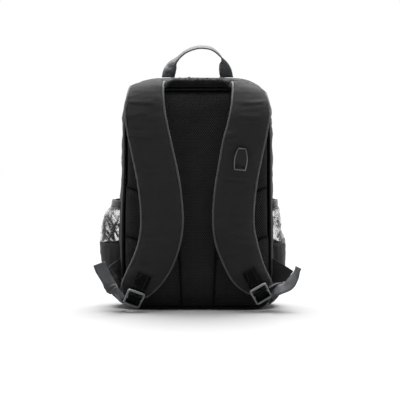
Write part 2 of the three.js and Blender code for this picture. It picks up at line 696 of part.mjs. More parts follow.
// Folded binding down one edge of the strap, round its end and up the other edge.
function strapBinding(name) {
  const frames = strapFrames(name, 2);
  const high = STRAP_EDGE / 2 + GAP;
  const section = (frame, start, outward) => {
    const at = (out, lift) => start.clone().addScaledVector(outward, out).addScaledVector(frame.normal, lift);
    return [
      at(GAP, high),
      at(GAP + BINDING * 0.7, high * 0.85),
      at(GAP + BINDING, 0),
      at(GAP + BINDING * 0.7, -high * 0.85),
      at(GAP, -high),
    ];
  };
  const edge = (frame, way) => {
    const start = frame.place.clone().addScaledVector(frame.across, (way * frame.core) / 2);
    return section(frame, start, frame.across.clone().multiplyScalar(way));
  };
  const last = frames[frames.length - 1];
  const flat = last.normal.clone().cross(last.across).normalize();
  const down = flat.dot(last.along) < 0 ? flat.negate() : flat;
  const end = (over, lean) => {
    const start = last.place.clone().addScaledVector(last.across, (over * last.core) / 2);
    return section(last, start, down.clone().addScaledVector(last.across, lean));
  };
  const sides = frames.slice(0, -1);
  return loft([
    ...sides.map((frame) => edge(frame, 1)),
    end(1, 1),
    end(0.4, 0),
    end(-0.4, 0),
    end(-1, -1),
    ...sides.map((frame) => edge(frame, -1)).reverse(),
  ]);
}

// A flat ribbon of webbing along a route of frames.
function ribbon(frames, width, thick) {
  const rings = frames.map(({ place, along, across }) => {
    const normal = along.clone().cross(across).normalize();
    const flat = normal.clone().cross(along).normalize();
    const sideways = flat.dot(across) < 0 ? flat.negate() : flat;
    const at = (over, lift) =>
      place.clone().addScaledVector(sideways, (over * width) / 2).addScaledVector(normal, (lift * thick) / 2);
    return [at(-1, -1), at(1, -1), at(1, 1), at(-1, 1)];
  });
  return loft(rings);
}

// Buckle's own frame: middle, along (down its length), across and the normal towards the wearer.
function buckleSeat(name) {
  const side = name === "left" ? -1 : 1;
  const seat = BUCKLE_SEATS[name];
  const frames = strapFrames(name, 1);
  const end = frames[frames.length - 1];
  const lean = radians(seat.lean);
  const tip = radians(seat.tip);
  const turn = radians(seat.turn);
  const level = v3(side * Math.cos(lean), 0, Math.sin(lean));
  const drop = v3(side * Math.sin(lean), 0, -Math.cos(lean));
  const along = drop.clone().multiplyScalar(Math.cos(tip)).add(v3(0, Math.sin(tip), 0));
  const square = along.clone().cross(level).multiplyScalar(side);
  const across = level.clone().multiplyScalar(Math.cos(turn)).addScaledVector(square, Math.sin(turn));
  const normal = along.clone().cross(across).multiplyScalar(side);
  const lift = STRAP_THICK / 2 + BUCKLE_THICK / 2 + 2 * WEB_THICK + 4 * GAP;
  const middle = end.place.clone().add(v3(seat.shift * BUCKLE_WIDTH, -lift, -seat.drop * BUCKLE_HEIGHT));
  return { side, middle, along, across, normal, level };
}

const seatPoint = (seat, over, down, lift) =>
  seat.middle
    .clone()
    .addScaledVector(seat.across, over)
    .addScaledVector(seat.along, down)
    .addScaledVector(seat.normal, lift);

// Ladder-lock: a frame with two windows and a bar between them.
function buckle(name) {
  const seat = buckleSeat(name);
  const half = BUCKLE_WIDTH / 2;
  const tall = BUCKLE_HEIGHT / 2;
  const cut = BUCKLE_SIDE * 0.8;
  const shape = new THREE.Shape([
    new THREE.Vector2(-half + cut, -tall),
    new THREE.Vector2(half - cut, -tall),
    new THREE.Vector2(half, -tall + cut),
    new THREE.Vector2(half * 0.94, tall - cut),
    new THREE.Vector2(half * 0.94 - cut, tall),
    new THREE.Vector2(cut - half * 0.94, tall),
    new THREE.Vector2(-half * 0.94, tall - cut),
    new THREE.Vector2(-half, -tall + cut),
  ]);
  const inside = half - BUCKLE_SIDE;
  for (const [from, to] of [
    [-tall + BUCKLE_BAR, -BUCKLE_BAR / 2],
    [BUCKLE_BAR / 2, tall - BUCKLE_BAR],
  ]) {
    const window = new THREE.Path();
    window.moveTo(-inside, from);
    window.lineTo(-inside, to);
    window.lineTo(inside, to);
    window.lineTo(inside, from);
    window.closePath();
    shape.holes.push(window);
  }
  const bevel = BUCKLE_THICK / 6;
  const geometry = new THREE.ExtrudeGeometry(shape, {
    depth: BUCKLE_THICK - 2 * bevel,
    bevelThickness: bevel,
    bevelSize: bevel,
    bevelOffset: -bevel,
    bevelSegments: 2,
  }).translate(0, 0, bevel - BUCKLE_THICK / 2);
  const across = seat.along.clone().cross(seat.normal);
  const frame = new THREE.Matrix4().makeBasis(across, seat.along, seat.normal);
  return geometry.applyMatrix4(frame.setPosition(seat.middle));
}

// Short loop of webbing: up behind the buckle, over its middle bar and down behind it again.
function webbingLoop(name) {
  const seat = buckleSeat(name);
  const behind = BUCKLE_THICK / 2 + GAP + WEB_THICK / 2;
  const layer = WEB_THICK + 2 * GAP;
  const bar = BUCKLE_BAR / 2;
  const foot = BUCKLE_HEIGHT / 2;
  const places = [
    { down: foot * 0.95, lift: -behind - layer },
    { down: foot * 0.3, lift: -behind - layer },
    { down: -bar * 1.3, lift: -behind - layer * 0.4 },
    { down: -bar * 2.4, lift: 0 },
    { down: -bar * 1.2, lift: behind },
    { down: bar * 1.2, lift: behind },
    { down: bar * 2.4, lift: behind * 0.1 },
    { down: foot * 0.52, lift: -behind * 0.86 },
    { down: foot * 0.76, lift: -behind },
    { down: foot * 0.95, lift: -behind },
  ].map(({ down, lift }) => seatPoint(seat, 0, down, lift));
  return ribbon(smoothRoute(places, places.map(() => seat.across.clone()), 1), WEBBING, WEB_THICK);
}

const besideSeat = (seat, { out, back, rise }) =>
  seat.middle.clone().add(v3(seat.side * out * WEBBING, back * WEBBING, rise * WEBBING));

const faceOf = (seat, { faceOut, faceFront, faceUp }) =>
  v3(seat.side * faceOut, -faceFront, faceUp).normalize();

// Webbing that comes from the wing, or hangs free, with its inner end behind the buckle.
function webbingRun(name, rows) {
  const seat = buckleSeat(name);
  const places = rows.map((row) => besideSeat(seat, row));
  return ribbon(smoothRoute(places, rows.map((row) => faceOf(seat, row)), 2), WEBBING, WEB_THICK);
}

// Stitched tab: flat on the strap's face, then behind the buckle's top bar.
function strapPatch(name) {
  const seat = buckleSeat(name);
  const top = -BUCKLE_HEIGHT / 2 + BUCKLE_BAR / 2;
  const reach = BUCKLE_THICK / 2 + GAP + WEB_THICK / 2;
  const frames = strapFrames(name, 4);
  const onStrap = (rise) => {
    const wanted = seatPoint(seat, 0, top - rise, 0);
    const off = (frame) => Math.abs(frame.place.z - wanted.z);
    const near = frames.reduce((a, b) => (off(a) < off(b) ? a : b));
    const y = near.place.y - STRAP_THICK / 2 - WEB_THICK / 2 - GAP;
    return wanted.setY(Math.min(y, seat.middle.y));
  };
  const places = [
    onStrap(PATCH_LENGTH + BUCKLE_BAR),
    onStrap(PATCH_LENGTH * 0.66),
    onStrap(PATCH_LENGTH * 0.3),
    seatPoint(seat, 0, top - BUCKLE_BAR, -reach - 3 * GAP),
    seatPoint(seat, 0, top, -reach - GAP),
    seatPoint(seat, 0, top + BUCKLE_BAR * 1.2, -reach),
  ];
  const onStrapPlaces = 3;
  const acrosses = places.map((place, i) => (i < onStrapPlaces ? seat.level : seat.across).clone());
  return ribbon(smoothRoute(places, acrosses, 2), PATCH_WIDTH, WEB_THICK);
}

// Cloth gusset from the side seam to the sewn end of the webbing.
function wing(name) {
  const seat = buckleSeat(name);
  const [first, second] = LOAD_ROWS[name];
  const tip = besideSeat(seat, first);
  const tipFace = faceOf(seat, first);
  const tipAcross = tipFace.z < 0 ? tipFace.negate() : tipFace;
  const heading = tip.clone().sub(besideSeat(seat, second)).normalize();
  const join = 2.2 * WING_THICK;
  const rows = [];
  const steps = 4;
  const levels = 3;
  const seamY = REAR + CLOTH;
  for (let i = 0; i <= levels; i += 1) {
    const share = i / levels;
    const z = WING_FOOT + share * WING_HEIGHT;
    const start = v3(seat.side * (bagHalf(seat.side, z, 0.02) + 2 * GAP), seamY, z);
    const end = tip.clone().addScaledVector(tipAcross, (share - 0.5) * WEBBING);
    end.addScaledVector(heading, join);
    const bend = start.clone().lerp(end, 0.5).add(v3(seat.side * WING_THICK, 0, 0));
    const curve = new THREE.QuadraticBezierCurve3(start, bend, end);
    rows.push(Array.from({ length: steps + 1 }, (unused, k) => curve.getPoint(k / steps)));
  }
  const thickness = rows.map((row, i) =>
    row.map((p, k) => {
      const next = row[Math.min(k + 1, steps)].clone().sub(row[Math.max(k - 1, 0)]);
      const up = rows[Math.min(i + 1, levels)][k].clone().sub(rows[Math.max(i - 1, 0)][k]);
      return next.cross(up).normalize().multiplyScalar(WING_THICK * seat.side);
    }),
  );
  const front = rows.map((row, i) => row.map((p, k) => p.clone().addScaledVector(thickness[i][k], 0.5)));
  const back = rows.map((row, i) => row.map((p, k) => p.clone().addScaledVector(thickness[i][k], -0.5)));
  return sheet(front, back);
}

// A band of side pocket between two heights, a bowed wall whose ends meet the bag's side.
function pocketBand(name, from, to, proud) {
  const side = name === "left" ? -1 : 1;
  const levels = POCKET_ROWS.map((row) => POCKET_FOOT + row.up * (POCKET_TOP - POCKET_FOOT));
  const corner = [2, 3, 4].map((step) => BASE_ROUND * (1 - Math.cos((step * Math.PI) / 8)));
  const above = levels.filter((z) => z > BASE_ROUND + 2 * CLOTH);
  const inside = [...corner, ...above].filter((z) => z > from + CLOTH && z < to - CLOTH);
  const heights = [from, ...inside, to];
  const middle = (POCKET_FRONT - POCKET_REAR) / 2;
  const reach = (POCKET_FRONT + POCKET_REAR) / 2;
  const steps = 12;
  const grid = (inset) =>
    heights.map((z) => {
      const share = (z - POCKET_FOOT) / (POCKET_TOP - POCKET_FOOT);
      const bulge = readTable(POCKET_ROWS, "up", share, name) * POCKET_BULGE + CLOTH + proud;
      return Array.from({ length: steps + 1 }, (unused, i) => {
        const angle = (Math.PI * i) / steps;
        const y = middle + (reach + proud - inset) * Math.cos(angle);
        const depth = (y - REAR) / BAG_DEPTH;
        const bow = Math.max(bulge - inset, CLOTH / 4) * Math.sin(angle) ** 0.8;
        const stand = (z < BASE_ROUND ? 3 : 1) * GAP + bow;
        return v3(side * (bagHalf(side, z, depth) + stand), y, z);
      });
    });
  return sheet(grid(0), grid(CLOTH + proud));
}

// Grab handle: webbing whose legs face the wearer and whose middle lies nearly flat, its front edge lower.
function handle() {
  const rows = [...HANDLE_ROWS.left, ...HANDLE_ROWS.right];
  const foot = bagTop(HANDLE_SETBACK / BAG_DEPTH) + GAP;
  const y = REAR + HANDLE_SETBACK;
  const places = rows.map((row) => v3(row.across * HANDLE_HALF, y, foot + row.rise * HANDLE_RISE));
  const front = v3(0, -Math.cos(radians(HANDLE_LEAN)), -Math.sin(radians(HANDLE_LEAN)));
  const acrosses = rows.map(({ turn }) =>
    v3(Math.cos(radians(turn)), 0, 0).addScaledVector(front, Math.sin(radians(turn))),
  );
  const frames = smoothRoute(places, acrosses, 2);
  frames[0].along.set(0, 0, 1);
  frames[frames.length - 1].along.set(0, 0, -1);
  return ribbon(frames, WEBBING, HANDLE_THICK);
}

// The charging port's place on the right strap's face, clear of its swell all along the port.
function usbSeat() {
  const frames = strapFrames("right", 4);
  const at = (z) =>
    frames.reduce((a, b) => (Math.abs(a.place.z - z) < Math.abs(b.place.z - z) ? a : b));
  const height = USB_HEIGHT;
  const frame = at(height);
  const ends = [at(height - USB_LENGTH / 2), at(height + USB_LENGTH / 2)];
  const rise = ends[1].place.clone().sub(ends[0].place);
  const normal = frame.across.clone().cross(rise).normalize();
  const lean = v3(Math.sin(radians(USB_LEAN)), 0, Math.cos(radians(USB_LEAN)));
  const up = lean.addScaledVector(normal, -lean.dot(normal)).normalize();
  const swell = Math.max(0, ...ends.map((end) => end.place.clone().sub(frame.place).dot(normal)));
  const middle = frame.place.clone().addScaledVector(normal, swell + STRAP_THICK / 2 + 3 * GAP);
  return new THREE.Matrix4().makeBasis(up.clone().cross(normal), up, normal).setPosition(middle);
}

function usbShape(inset) {
  const half = USB_WIDTH / 2 - inset;
  const tall = USB_LENGTH / 2 - inset;
  const shape = new THREE.Shape();
  const outline = [
    [0.83, -1.0],
    [0.93, -0.72],
    [1.0, -0.15],
    [0.96, 0.2],
    [0.8, 0.6],
    [0.58, 1.0],
  ];
  shape.moveTo(-half * outline[0][0], tall * outline[0][1]);
  outline.forEach(([over, up]) => shape.lineTo(half * over, tall * up));
  outline.slice(1).reverse().forEach(([over, up]) => shape.lineTo(-half * over, tall * up));
  shape.closePath();
  return shape;
}

function usbHousing() {
  const bevel = USB_RIM / 3;
  const outer = toSolid(
    new THREE.ExtrudeGeometry(usbShape(0), {
      depth: USB_THICK - bevel,
      bevelThickness: bevel,
      bevelSize: bevel,
      bevelOffset: -bevel,
      bevelSegments: 1,
    }),
  );
  const sunk = new THREE.ExtrudeGeometry(usbShape(USB_RIM), { depth: USB_THICK, bevelEnabled: false });
  sunk.translate(0, 0, USB_THICK - USB_RIM / 2);
  const mouth = new THREE.BoxGeometry(USB_SOCKET + 2 * GAP, USB_LENGTH * 0.36, USB_THICK * 0.5);
  mouth.translate(0, -USB_LENGTH / 2, USB_THICK * 0.4);
  const housing = outer.subtract(toSolid(sunk)).subtract(toSolid(mouth));
  return toGeometry(housing).applyMatrix4(usbSeat());
}

function usbSocket() {
  const depth = USB_LENGTH * 0.15;
  const socket = new THREE.BoxGeometry(USB_SOCKET, depth, USB_THICK * 0.5 - 2 * GAP);
  socket.translate(0, -USB_LENGTH / 2 + depth / 2 + USB_LENGTH * 0.02, USB_THICK * 0.4);
  return socket.applyMatrix4(usbSeat());
}

// Plain pocket on the front face, open towards the bag and slit for its zip.
function frontTub(proud, wall) {
  const ring = (row, inset, y) => {
    const drawn = row.inset * FRONT_HALF + inset;
    const low = FRONT_FOOT + drawn * 0.6;
    const high = FRONT_FOOT + FRONT_HEIGHT - drawn;
    const round = Math.max(FRONT_ROUND - drawn * 0.3, FRONT_ROUND / 3);
    const outline = roundedOutline(FRONT_HALF - drawn, low, high, round, round, PLAIN_STEPS);
    return outline.map((p) => v3(p.x, y, p.y));
  };
  const start = FRONT + GAP;
  const depth = FRONT_BULGE + proud;
  const outer = FRONT_FORM.map((row) => ring(row, -proud, start + row.out * depth));
  const inner = FRONT_FORM.map((row) => ring(row, wall - proud, start + row.out * (depth - wall)));
  return toSolid(loft([...outer.reverse(), ...inner]));
}

function frontSlit(gap) {
  const reach = FRONT_HALF * 0.86 - gap;
  const middle = FRONT_FOOT + FRONT_HEIGHT * 0.8;
  const half = ZIP_WIDTH / 2 - gap;
  const low = v3(-reach, FRONT + FRONT_BULGE / 2, middle - half);
  const high = v3(reach, FRONT + 2 * FRONT_BULGE, middle + half);
  return toSolid(boxBetween(low, high));
}

const frontPocket = () => toGeometry(frontTub(0, CLOTH).subtract(frontSlit(0)));
const frontZip = () => toGeometry(frontTub(-CLOTH / 4, TAPE_THICK).intersect(frontSlit(GAP)));

const CLOTH_LOOK = { color: 0x2b2b2d, roughness: 0.92, metalness: 0 };
const MESH_LOOK = { color: 0x17181a, roughness: 0.95, metalness: 0 };
const WEBBING_LOOK = { color: 0x3a3b3e, roughness: 0.8, metalness: 0 };
const BINDING_LOOK = { color: 0x4a4b4e, roughness: 0.85, metalness: 0 };
const PLASTIC_LOOK = { color: 0x2f3033, roughness: 0.45, metalness: 0 };
const RUBBER_LOOK = { color: 0x333436, roughness: 0.6, metalness: 0 };

const backpack = new THREE.Group();

function addPiece(name, geometry, look) {
  const mesh = new THREE.Mesh(geometry, new THREE.MeshStandardMaterial(look));
  mesh.name = name;
  backpack.add(mesh);
  return mesh;
}

addPiece("body_shell", bodyShell(), CLOTH_LOOK);
addPiece("main_zip", mainZip(), WEBBING_LOOK);
addPiece("back_panel", backPanel(), MESH_LOOK);
addPiece("panel_binding", panelBinding(), BINDING_LOOK);
addPiece("yoke", yoke(), CLOTH_LOOK);
addPiece("handle", handle(), WEBBING_LOOK);

// A slider lies on its zip with its pull towards one side.
function addSlider(name, place, pull, normal) {
  const slider = addPiece(name, zipSlider(), PLASTIC_LOOK);
  const frame = new THREE.Matrix4().makeBasis(pull.clone().cross(normal), pull, normal);
  slider.quaternion.setFromRotationMatrix(frame);
  slider.position.copy(place).addScaledVector(normal, GAP);
}

const zipShare = (ZIP_MIDDLE - REAR) / BAG_DEPTH;
const zipReach = ZIP_WIDTH / 2 / BAG_DEPTH;
const zipFall = bagTop(zipShare - zipReach) - bagTop(zipShare + zipReach);
const zipNormal = v3(0, zipFall, ZIP_WIDTH).normalize();
for (const [name, side] of [["left", -1], ["right", 1]]) {
  const place = v3(side * GAP * 4, ZIP_MIDDLE, bagTop(zipShare));
  addSlider("zip_slider_" + name, place, v3(side, 0, 0), zipNormal);
}

for (const name of ["left", "right"]) {
  addPiece("strap_" + name, strap(name), CLOTH_LOOK);
  addPiece("strap_binding_" + name, strapBinding(name), BINDING_LOOK);
  addPiece("strap_patch_" + name, strapPatch(name), WEBBING_LOOK);
  addPiece("buckle_" + name, buckle(name), PLASTIC_LOOK);
  addPiece("webbing_loop_" + name, webbingLoop(name), WEBBING_LOOK);
  addPiece("webbing_" + name, webbingRun(name, LOAD_ROWS[name]), WEBBING_LOOK);
  addPiece("webbing_tail_" + name, webbingRun(name, TAIL_ROWS[name]), WEBBING_LOOK);
  addPiece("wing_" + name, wing(name), CLOTH_LOOK);
  const collarFoot = POCKET_TOP - COLLAR_HEIGHT;
  addPiece("pocket_base_" + name, pocketBand(name, POCKET_FOOT, POCKET_SEAM - GAP, 0), CLOTH_LOOK);
  addPiece("pocket_mesh_" + name, pocketBand(name, POCKET_SEAM, collarFoot - GAP, 0), MESH_LOOK);
  addPiece("pocket_collar_" + name, pocketBand(name, collarFoot, POCKET_TOP, 0.8), BINDING_LOOK);
}

addPiece("usb_housing", usbHousing(), RUBBER_LOOK);
addPiece("usb_socket", usbSocket(), PLASTIC_LOOK);
addPiece("front_pocket", frontPocket(), CLOTH_LOOK);
addPiece("front_pocket_zip", frontZip(), WEBBING_LOOK);
const frontZipHeight = FRONT_FOOT + FRONT_HEIGHT * 0.8;
const frontSliderPlace = v3(-FRONT_HALF * 0.7, FRONT + FRONT_BULGE + GAP, frontZipHeight);
addSlider("front_zip_slider", frontSliderPlace, v3(0, 0, -1), v3(0, 1, 0));

export default backpack;
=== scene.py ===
"""Laptop backpack standing with its straps towards the camera: cloth, net, webbing and buckles.

Lengths in the tables and functions are millimetres, but the lights are placed in metres, as the frame and
the finished meshes are.
"""

import heapq
import math

import bpy
import numpy as np
from mathutils import Matrix, Vector, noise


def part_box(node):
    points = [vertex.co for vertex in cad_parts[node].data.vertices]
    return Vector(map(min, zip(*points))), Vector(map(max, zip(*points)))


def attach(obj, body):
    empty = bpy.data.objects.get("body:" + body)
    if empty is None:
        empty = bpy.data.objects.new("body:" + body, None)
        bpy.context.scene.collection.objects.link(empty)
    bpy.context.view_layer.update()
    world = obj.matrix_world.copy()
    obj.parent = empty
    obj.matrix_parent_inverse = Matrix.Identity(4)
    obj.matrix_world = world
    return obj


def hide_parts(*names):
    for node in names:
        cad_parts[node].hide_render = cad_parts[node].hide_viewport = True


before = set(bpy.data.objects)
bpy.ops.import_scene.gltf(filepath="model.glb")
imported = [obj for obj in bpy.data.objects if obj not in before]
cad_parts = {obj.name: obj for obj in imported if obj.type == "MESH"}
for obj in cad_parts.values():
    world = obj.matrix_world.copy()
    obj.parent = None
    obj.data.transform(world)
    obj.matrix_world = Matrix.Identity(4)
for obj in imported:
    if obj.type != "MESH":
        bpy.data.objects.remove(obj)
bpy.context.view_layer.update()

MM = 0.001

# The photograph: millimetres to a pixel at the back panel, and what the middle of the view looks at.
PIXEL = 1.935
IMAGE = 400
VIEW_MIDDLE = (4.8, -72.0, 213.8)
CAMERA_AWAY = 2600.0
CAMERA_RISE = 3.0
SENSOR = 36.0

# The light from above: its strength, how wide a disc it comes from, and its tilt in degrees.
SKY_STRENGTH = 20.0
SKY_SPREAD = 62
SKY_TILT = -14
# Soft boxes in metres: place, width and height, and power.
LIGHT_AIM = (0.0, 0.0, 0.25)
SOFT_BOXES = {
    "left light": ((-1.5, 0.1, 0.6), (1.0, 1.2), 13.0),
    "right light": ((1.5, 0.1, 0.6), (1.0, 1.2), 13.0),
    "front light": ((0.3, -2.6, 1.7), (1.6, 1.0), 4.0),
}

# Repeats in the woven stuff: spacer mesh, webbing lanes, side net and edge stitches.
MESH_ACROSS, MESH_DOWN = 4.5, 5.6
WEBBING_LANE = 6.2
NET_ACROSS, NET_DOWN = 2.6, 3.2
EDGE_STITCH = 3.6
# Zip teeth: pitch, length, width and height, and how far each stands aside and out from the tape.
TOOTH_PITCH = 2.6
TOOTH = (3.0, 1.3, 1.1)
TOOTH_ASIDE = 0.7
TOOTH_OUT = 0.9
ZIP_END = 6.0
# Stitch lines: half width on patch, hem and handle foot, and how far from the webbing's ends they lie.
PATCH_SEAM = {"half": 9.6, "far": 3.0, "near": 31.0}
HEM_SEAM = {"half": 9.5, "far": 11.0}
FOOT_SEAM = {"half": 9.0, "near": 3.0, "far": 15.0}
# Charging port: rim, and the two sockets' places, half width and soft edge.
RIM_WIDTH, RIM_HEIGHT = 1.3, 0.9
SOCKET_ASIDE, SOCKET_DOWN = 6.6, 14.6
SOCKET_HALF, SOCKET_EDGE = 2.0, 2.5

# Grooves sewn into the back panel, in x and z, for the right half. The left half mirrors them.
GROOVES = {
    "upper": [(150.0, 240.5), (124.7, 235.5), (100.0, 223.0), (43.5, 192.5)],
    "lower": [(150.0, 145.0), (124.7, 140.0), (98.0, 127.5), (36.0, 99.0)],
    "spine": [(43.5, 192.2), (39.2, 147.5), (35.3, 98.5), (32.6, 45.0), (30.4, -14.0)],
}


# Finishes
class Strand:
    """One socket of a finish's nodes, with arithmetic on it."""

    def __init__(self, finish, socket):
        self.finish = finish
        self.socket = socket

    def combine(self, operation, *values):
        return self.finish.node("ShaderNodeMath", {"operation": operation}, *values)

    def __add__(self, other):
        return self.combine("ADD", self, other)

    __radd__ = __add__

    def __sub__(self, other):
        return self.combine("SUBTRACT", self, other)

    def __rsub__(self, other):
        return self.combine("SUBTRACT", other, self)

    def __mul__(self, other):
        return self.combine("MULTIPLY", self, other)

    __rmul__ = __mul__

    def __truediv__(self, other):
        return self.combine("DIVIDE", self, other)

    def wave(self):
        return self.combine("SINE", self)

    def size(self):
        return self.combine("ABSOLUTE", self)

    def over(self, other):
        return self.combine("GREATER_THAN", self, other)

    def most(self, other):
        return self.combine("MAXIMUM", self, other)

    def least(self, other):
        return self.combine("MINIMUM", self, other)

    def part(self):
        return self.combine("FRACT", self)

    def ramp(self, low, high):
        """0 up to low, 1 from high on, and a soft step between."""
        return self.finish.node(
            "ShaderNodeMapRange", {"interpolation_type": "SMOOTHSTEP"}, self, low, high, 0.0, 1.0
        )


class Finish:
    """A material built from nodes."""

    def __init__(self, name, roughness=0.8, sheen=0.0, sheen_roughness=0.4, specular=0.5):
        self.material = bpy.data.materials.new(name)
        self.material.use_nodes = True
        self.tree = self.material.node_tree
        self.tree.nodes.clear()
        self.output = self.tree.nodes.new("ShaderNodeOutputMaterial")
        self.shader = self.tree.nodes.new("ShaderNodeBsdfPrincipled")
        self.tree.links.new(self.shader.outputs[0], self.output.inputs["Surface"])
        settings = {
            "Roughness": roughness,
            "Sheen Weight": sheen,
            "Sheen Roughness": sheen_roughness,
            "Specular IOR Level": specular,
        }
        for key, value in settings.items():
            self.shader.inputs[key].default_value = value

    def node(self, kind, settings, *values, out=0, **named):
        made = self.tree.nodes.new(kind)
        for key, value in settings.items():
            setattr(made, key, value)
        for key, value in [*enumerate(values), *named.items()]:
            if isinstance(value, Strand):
                self.tree.links.new(value.socket, made.inputs[key])
            elif value is not None:
                made.inputs[key].default_value = value
        return Strand(self, made.outputs[out])

    def place(self):
        """Object coordinates in millimetres, as x, y and z."""
        spot = self.node("ShaderNodeTexCoord", {}, out=3)
        scaled = self.node("ShaderNodeVectorMath", {"operation": "SCALE"}, spot, Scale=1 / MM)
        return scaled

    def parts(self, vector):
        split = self.tree.nodes.new("ShaderNodeSeparateXYZ")
        self.tree.links.new(vector.socket, split.inputs[0])
        return [Strand(self, output) for output in split.outputs]

    def facing(self):
        """How far the surface faces along x, y and z, without sign."""
        geometry = self.tree.nodes.new("ShaderNodeNewGeometry")
        return [side.size() for side in self.parts(Strand(self, geometry.outputs["Normal"]))]

    def along(self, name="weave"):
        """The piece's own map in millimetres: along it and across it."""
        return self.parts(
            self.node(
                "ShaderNodeVectorMath",
                {"operation": "SCALE"},
                self.node("ShaderNodeUVMap", {"uv_map": name}),
                Scale=1 / MM,
            )
        )[:2]

    def mark(self, name):
        """A value that the piece carries at each of its points."""
        return self.node("ShaderNodeAttribute", {"attribute_name": name}, out=2)

    def grain(self, vector, size, detail=2.0, roughness=0.5):
        """Cloudy noise between 0 and 1 with spots of about that size."""
        return self.node(
            "ShaderNodeTexNoise",
            {"noise_dimensions": "3D"},
            Vector=vector,
            Scale=1 / size,
            Detail=detail,
            Roughness=roughness,
        )

    def blend(self, share, low, high):
        """A colour between two others."""
        colours = self.tree.nodes.new("ShaderNodeMix")
        colours.data_type = "RGBA"
        for index, value in [(0, share), (6, low), (7, high)]:
            if isinstance(value, Strand):
                self.tree.links.new(value.socket, colours.inputs[index])
            else:
                colours.inputs[index].default_value = value if index == 0 else (*value, 1.0)
        return Strand(self, colours.outputs[2])

    def colour(self, value):
        self.tree.links.new(value.socket, self.shader.inputs["Base Color"])

    def rough(self, value):
        self.tree.links.new(value.socket, self.shader.inputs["Roughness"])

    def see_through(self, value):
        self.tree.links.new(value.socket, self.shader.inputs["Alpha"])

    def relief(self, height, depth, strength=1.0):
        """A bump of that many millimetres."""
        bump = self.node(
            "ShaderNodeBump", {}, Strength=strength, Distance=depth * MM, Height=height
        )
        self.tree.links.new(bump.socket, self.shader.inputs["Normal"])


def plain_weave(finish, a, b, pitch):
    """Over-and-under yarns: height between 0 and 1 at the place (a, b)."""
    turn = math.pi / pitch
    warp = (a * turn).wave().size()
    weft = (b * turn).wave().size()
    over = ((a * turn).wave() * (b * turn).wave()).over(0.0)
    return over * warp + (1.0 - over) * weft


def each_way(finish, pitch):
    """The weave laid on each of the three planes and picked by where the surface faces."""
    x, y, z = finish.parts(finish.place())
    fx, fy, fz = finish.facing()
    on_side = fx.over(0.62)
    on_top = fz.over(0.66)
    front = plain_weave(finish, x, z, pitch)
    side = plain_weave(finish, y, z, pitch)
    top = plain_weave(finish, x, y, pitch)
    return (1.0 - on_side) * ((1.0 - on_top) * front + on_top * top) + on_side * side


def cloth_finish(name, dark, light, pitch=0.9, sheen=0.04, roughness=0.85, painted_shade=None):
    """Plain woven polyester, a little cloudy with wear. The shade colour, if given, is painted where a
    piece is marked with shade.
    """
    finish = Finish(name, roughness=roughness, sheen=sheen, sheen_roughness=0.35, specular=0.1)
    weave = each_way(finish, pitch)
    where = finish.place()
    cloud = finish.grain(where, 34.0, 3.0)
    slub = finish.grain(where, 2.4, 2.0)
    share = (weave * 0.55 + cloud * 0.45 + slub * 0.3 - 0.15).least(1.0)
    colour = finish.blend(share, dark, light)
    # Painted shade: the given dark colour is laid where the piece carries the shade mark.
    if painted_shade:
        colour = finish.blend(finish.mark("shade"), colour, painted_shade)
    finish.colour(colour)
    finish.rough(roughness - 0.1 + cloud * 0.16)
    finish.relief(weave + slub * 0.5, 0.2, 0.5)
    return finish.material


def spacer_finish(name, hole, rib):
    """Spacer mesh: staggered oval holes in a knitted face, darkened as painted shade where the piece
    carries the shade mark.
    """
    finish = Finish(name, roughness=0.9, specular=0.08)
    where = finish.place()
    x, y, z = finish.parts(where)
    holes = []
    for shift in (0.0, 0.5):
        a = ((x / MESH_ACROSS + shift).part() - 0.5) * 2.0
        b = ((z / MESH_DOWN + shift).part() - 0.5) * 2.0
        holes.append(a * a + b * b * 1.1)
    near = holes[0].least(holes[1])
    web = near.ramp(0.14, 0.42)
    knit = plain_weave(finish, x + z, x - z, 0.8)
    cloud = finish.grain(where, 45.0, 2.0)
    # Painted shade: the mesh is up to nine tenths darker where the piece is marked, as along its sewn
    # grooves.
    share = (web * (0.35 + knit * 0.3 + cloud * 0.6) * (1.0 - finish.mark("shade") * 0.9)).least(1.0)
    finish.colour(finish.blend(share, hole, rib))
    finish.relief(web + knit * 0.15, 0.9, 1.0)
    return finish.material


def webbing_finish(name, dark, light, rib=1.5, roughness=0.7, edge=0.35, specular=0.25):
    """Herringbone webbing, by the piece's own map, with paler edges that are a painted highlight."""
    finish = Finish(name, roughness=roughness, specular=specular)
    along, across = finish.along()
    turn = 2 * math.pi / rib
    lane = (across / WEBBING_LANE).part()
    slant = (lane - 0.5).size() * WEBBING_LANE
    rows = ((along + slant) * turn).wave() * 0.5 + 0.5
    yarn = ((across * 2 * math.pi / 0.8).wave() * 0.5 + 0.5) * 0.4
    # Painted highlight along both edges of the webbing, as strong as edge says.
    edge_highlight = across.size().ramp(10.4, 12.2)
    where = finish.place()
    cloud = finish.grain(where, 16.0, 3.0)
    share = (rows * 0.4 + yarn + cloud * 0.45 - 0.15 + edge_highlight * edge).least(1.0)
    finish.colour(finish.blend(share, dark, light))
    finish.rough(roughness - 0.1 + cloud * 0.2)
    finish.relief(rows + yarn, 0.3, 0.7)
    return finish.material


def tape_finish(name, dark, light, rib=0.9, roughness=0.75, seam=None):
    """Ribbed tape, with a line of stitches where seam says how far across."""
    finish = Finish(name, roughness=roughness, sheen=0.1, sheen_roughness=0.4, specular=0.2)
    along, across = finish.along()
    ribs = (along * (2 * math.pi / rib)).wave() * 0.5 + 0.5
    where = finish.place()
    cloud = finish.grain(where, 12.0, 3.0)
    share = ribs * 0.4 + cloud * 0.4
    height = ribs * 0.3
    if seam is not None:
        spot = (along / EDGE_STITCH).part()
        thread = spot.ramp(0.08, 0.2) * (1.0 - spot.ramp(0.6, 0.72))
        stitch = thread * (1.0 - ((across - seam).size()).ramp(0.4, 0.8))
        share = (share + stitch * 0.7).least(1.0)
        height = height + stitch
    finish.colour(finish.blend(share, dark, light))
    finish.relief(height, 0.35, 0.7)
    return finish.material


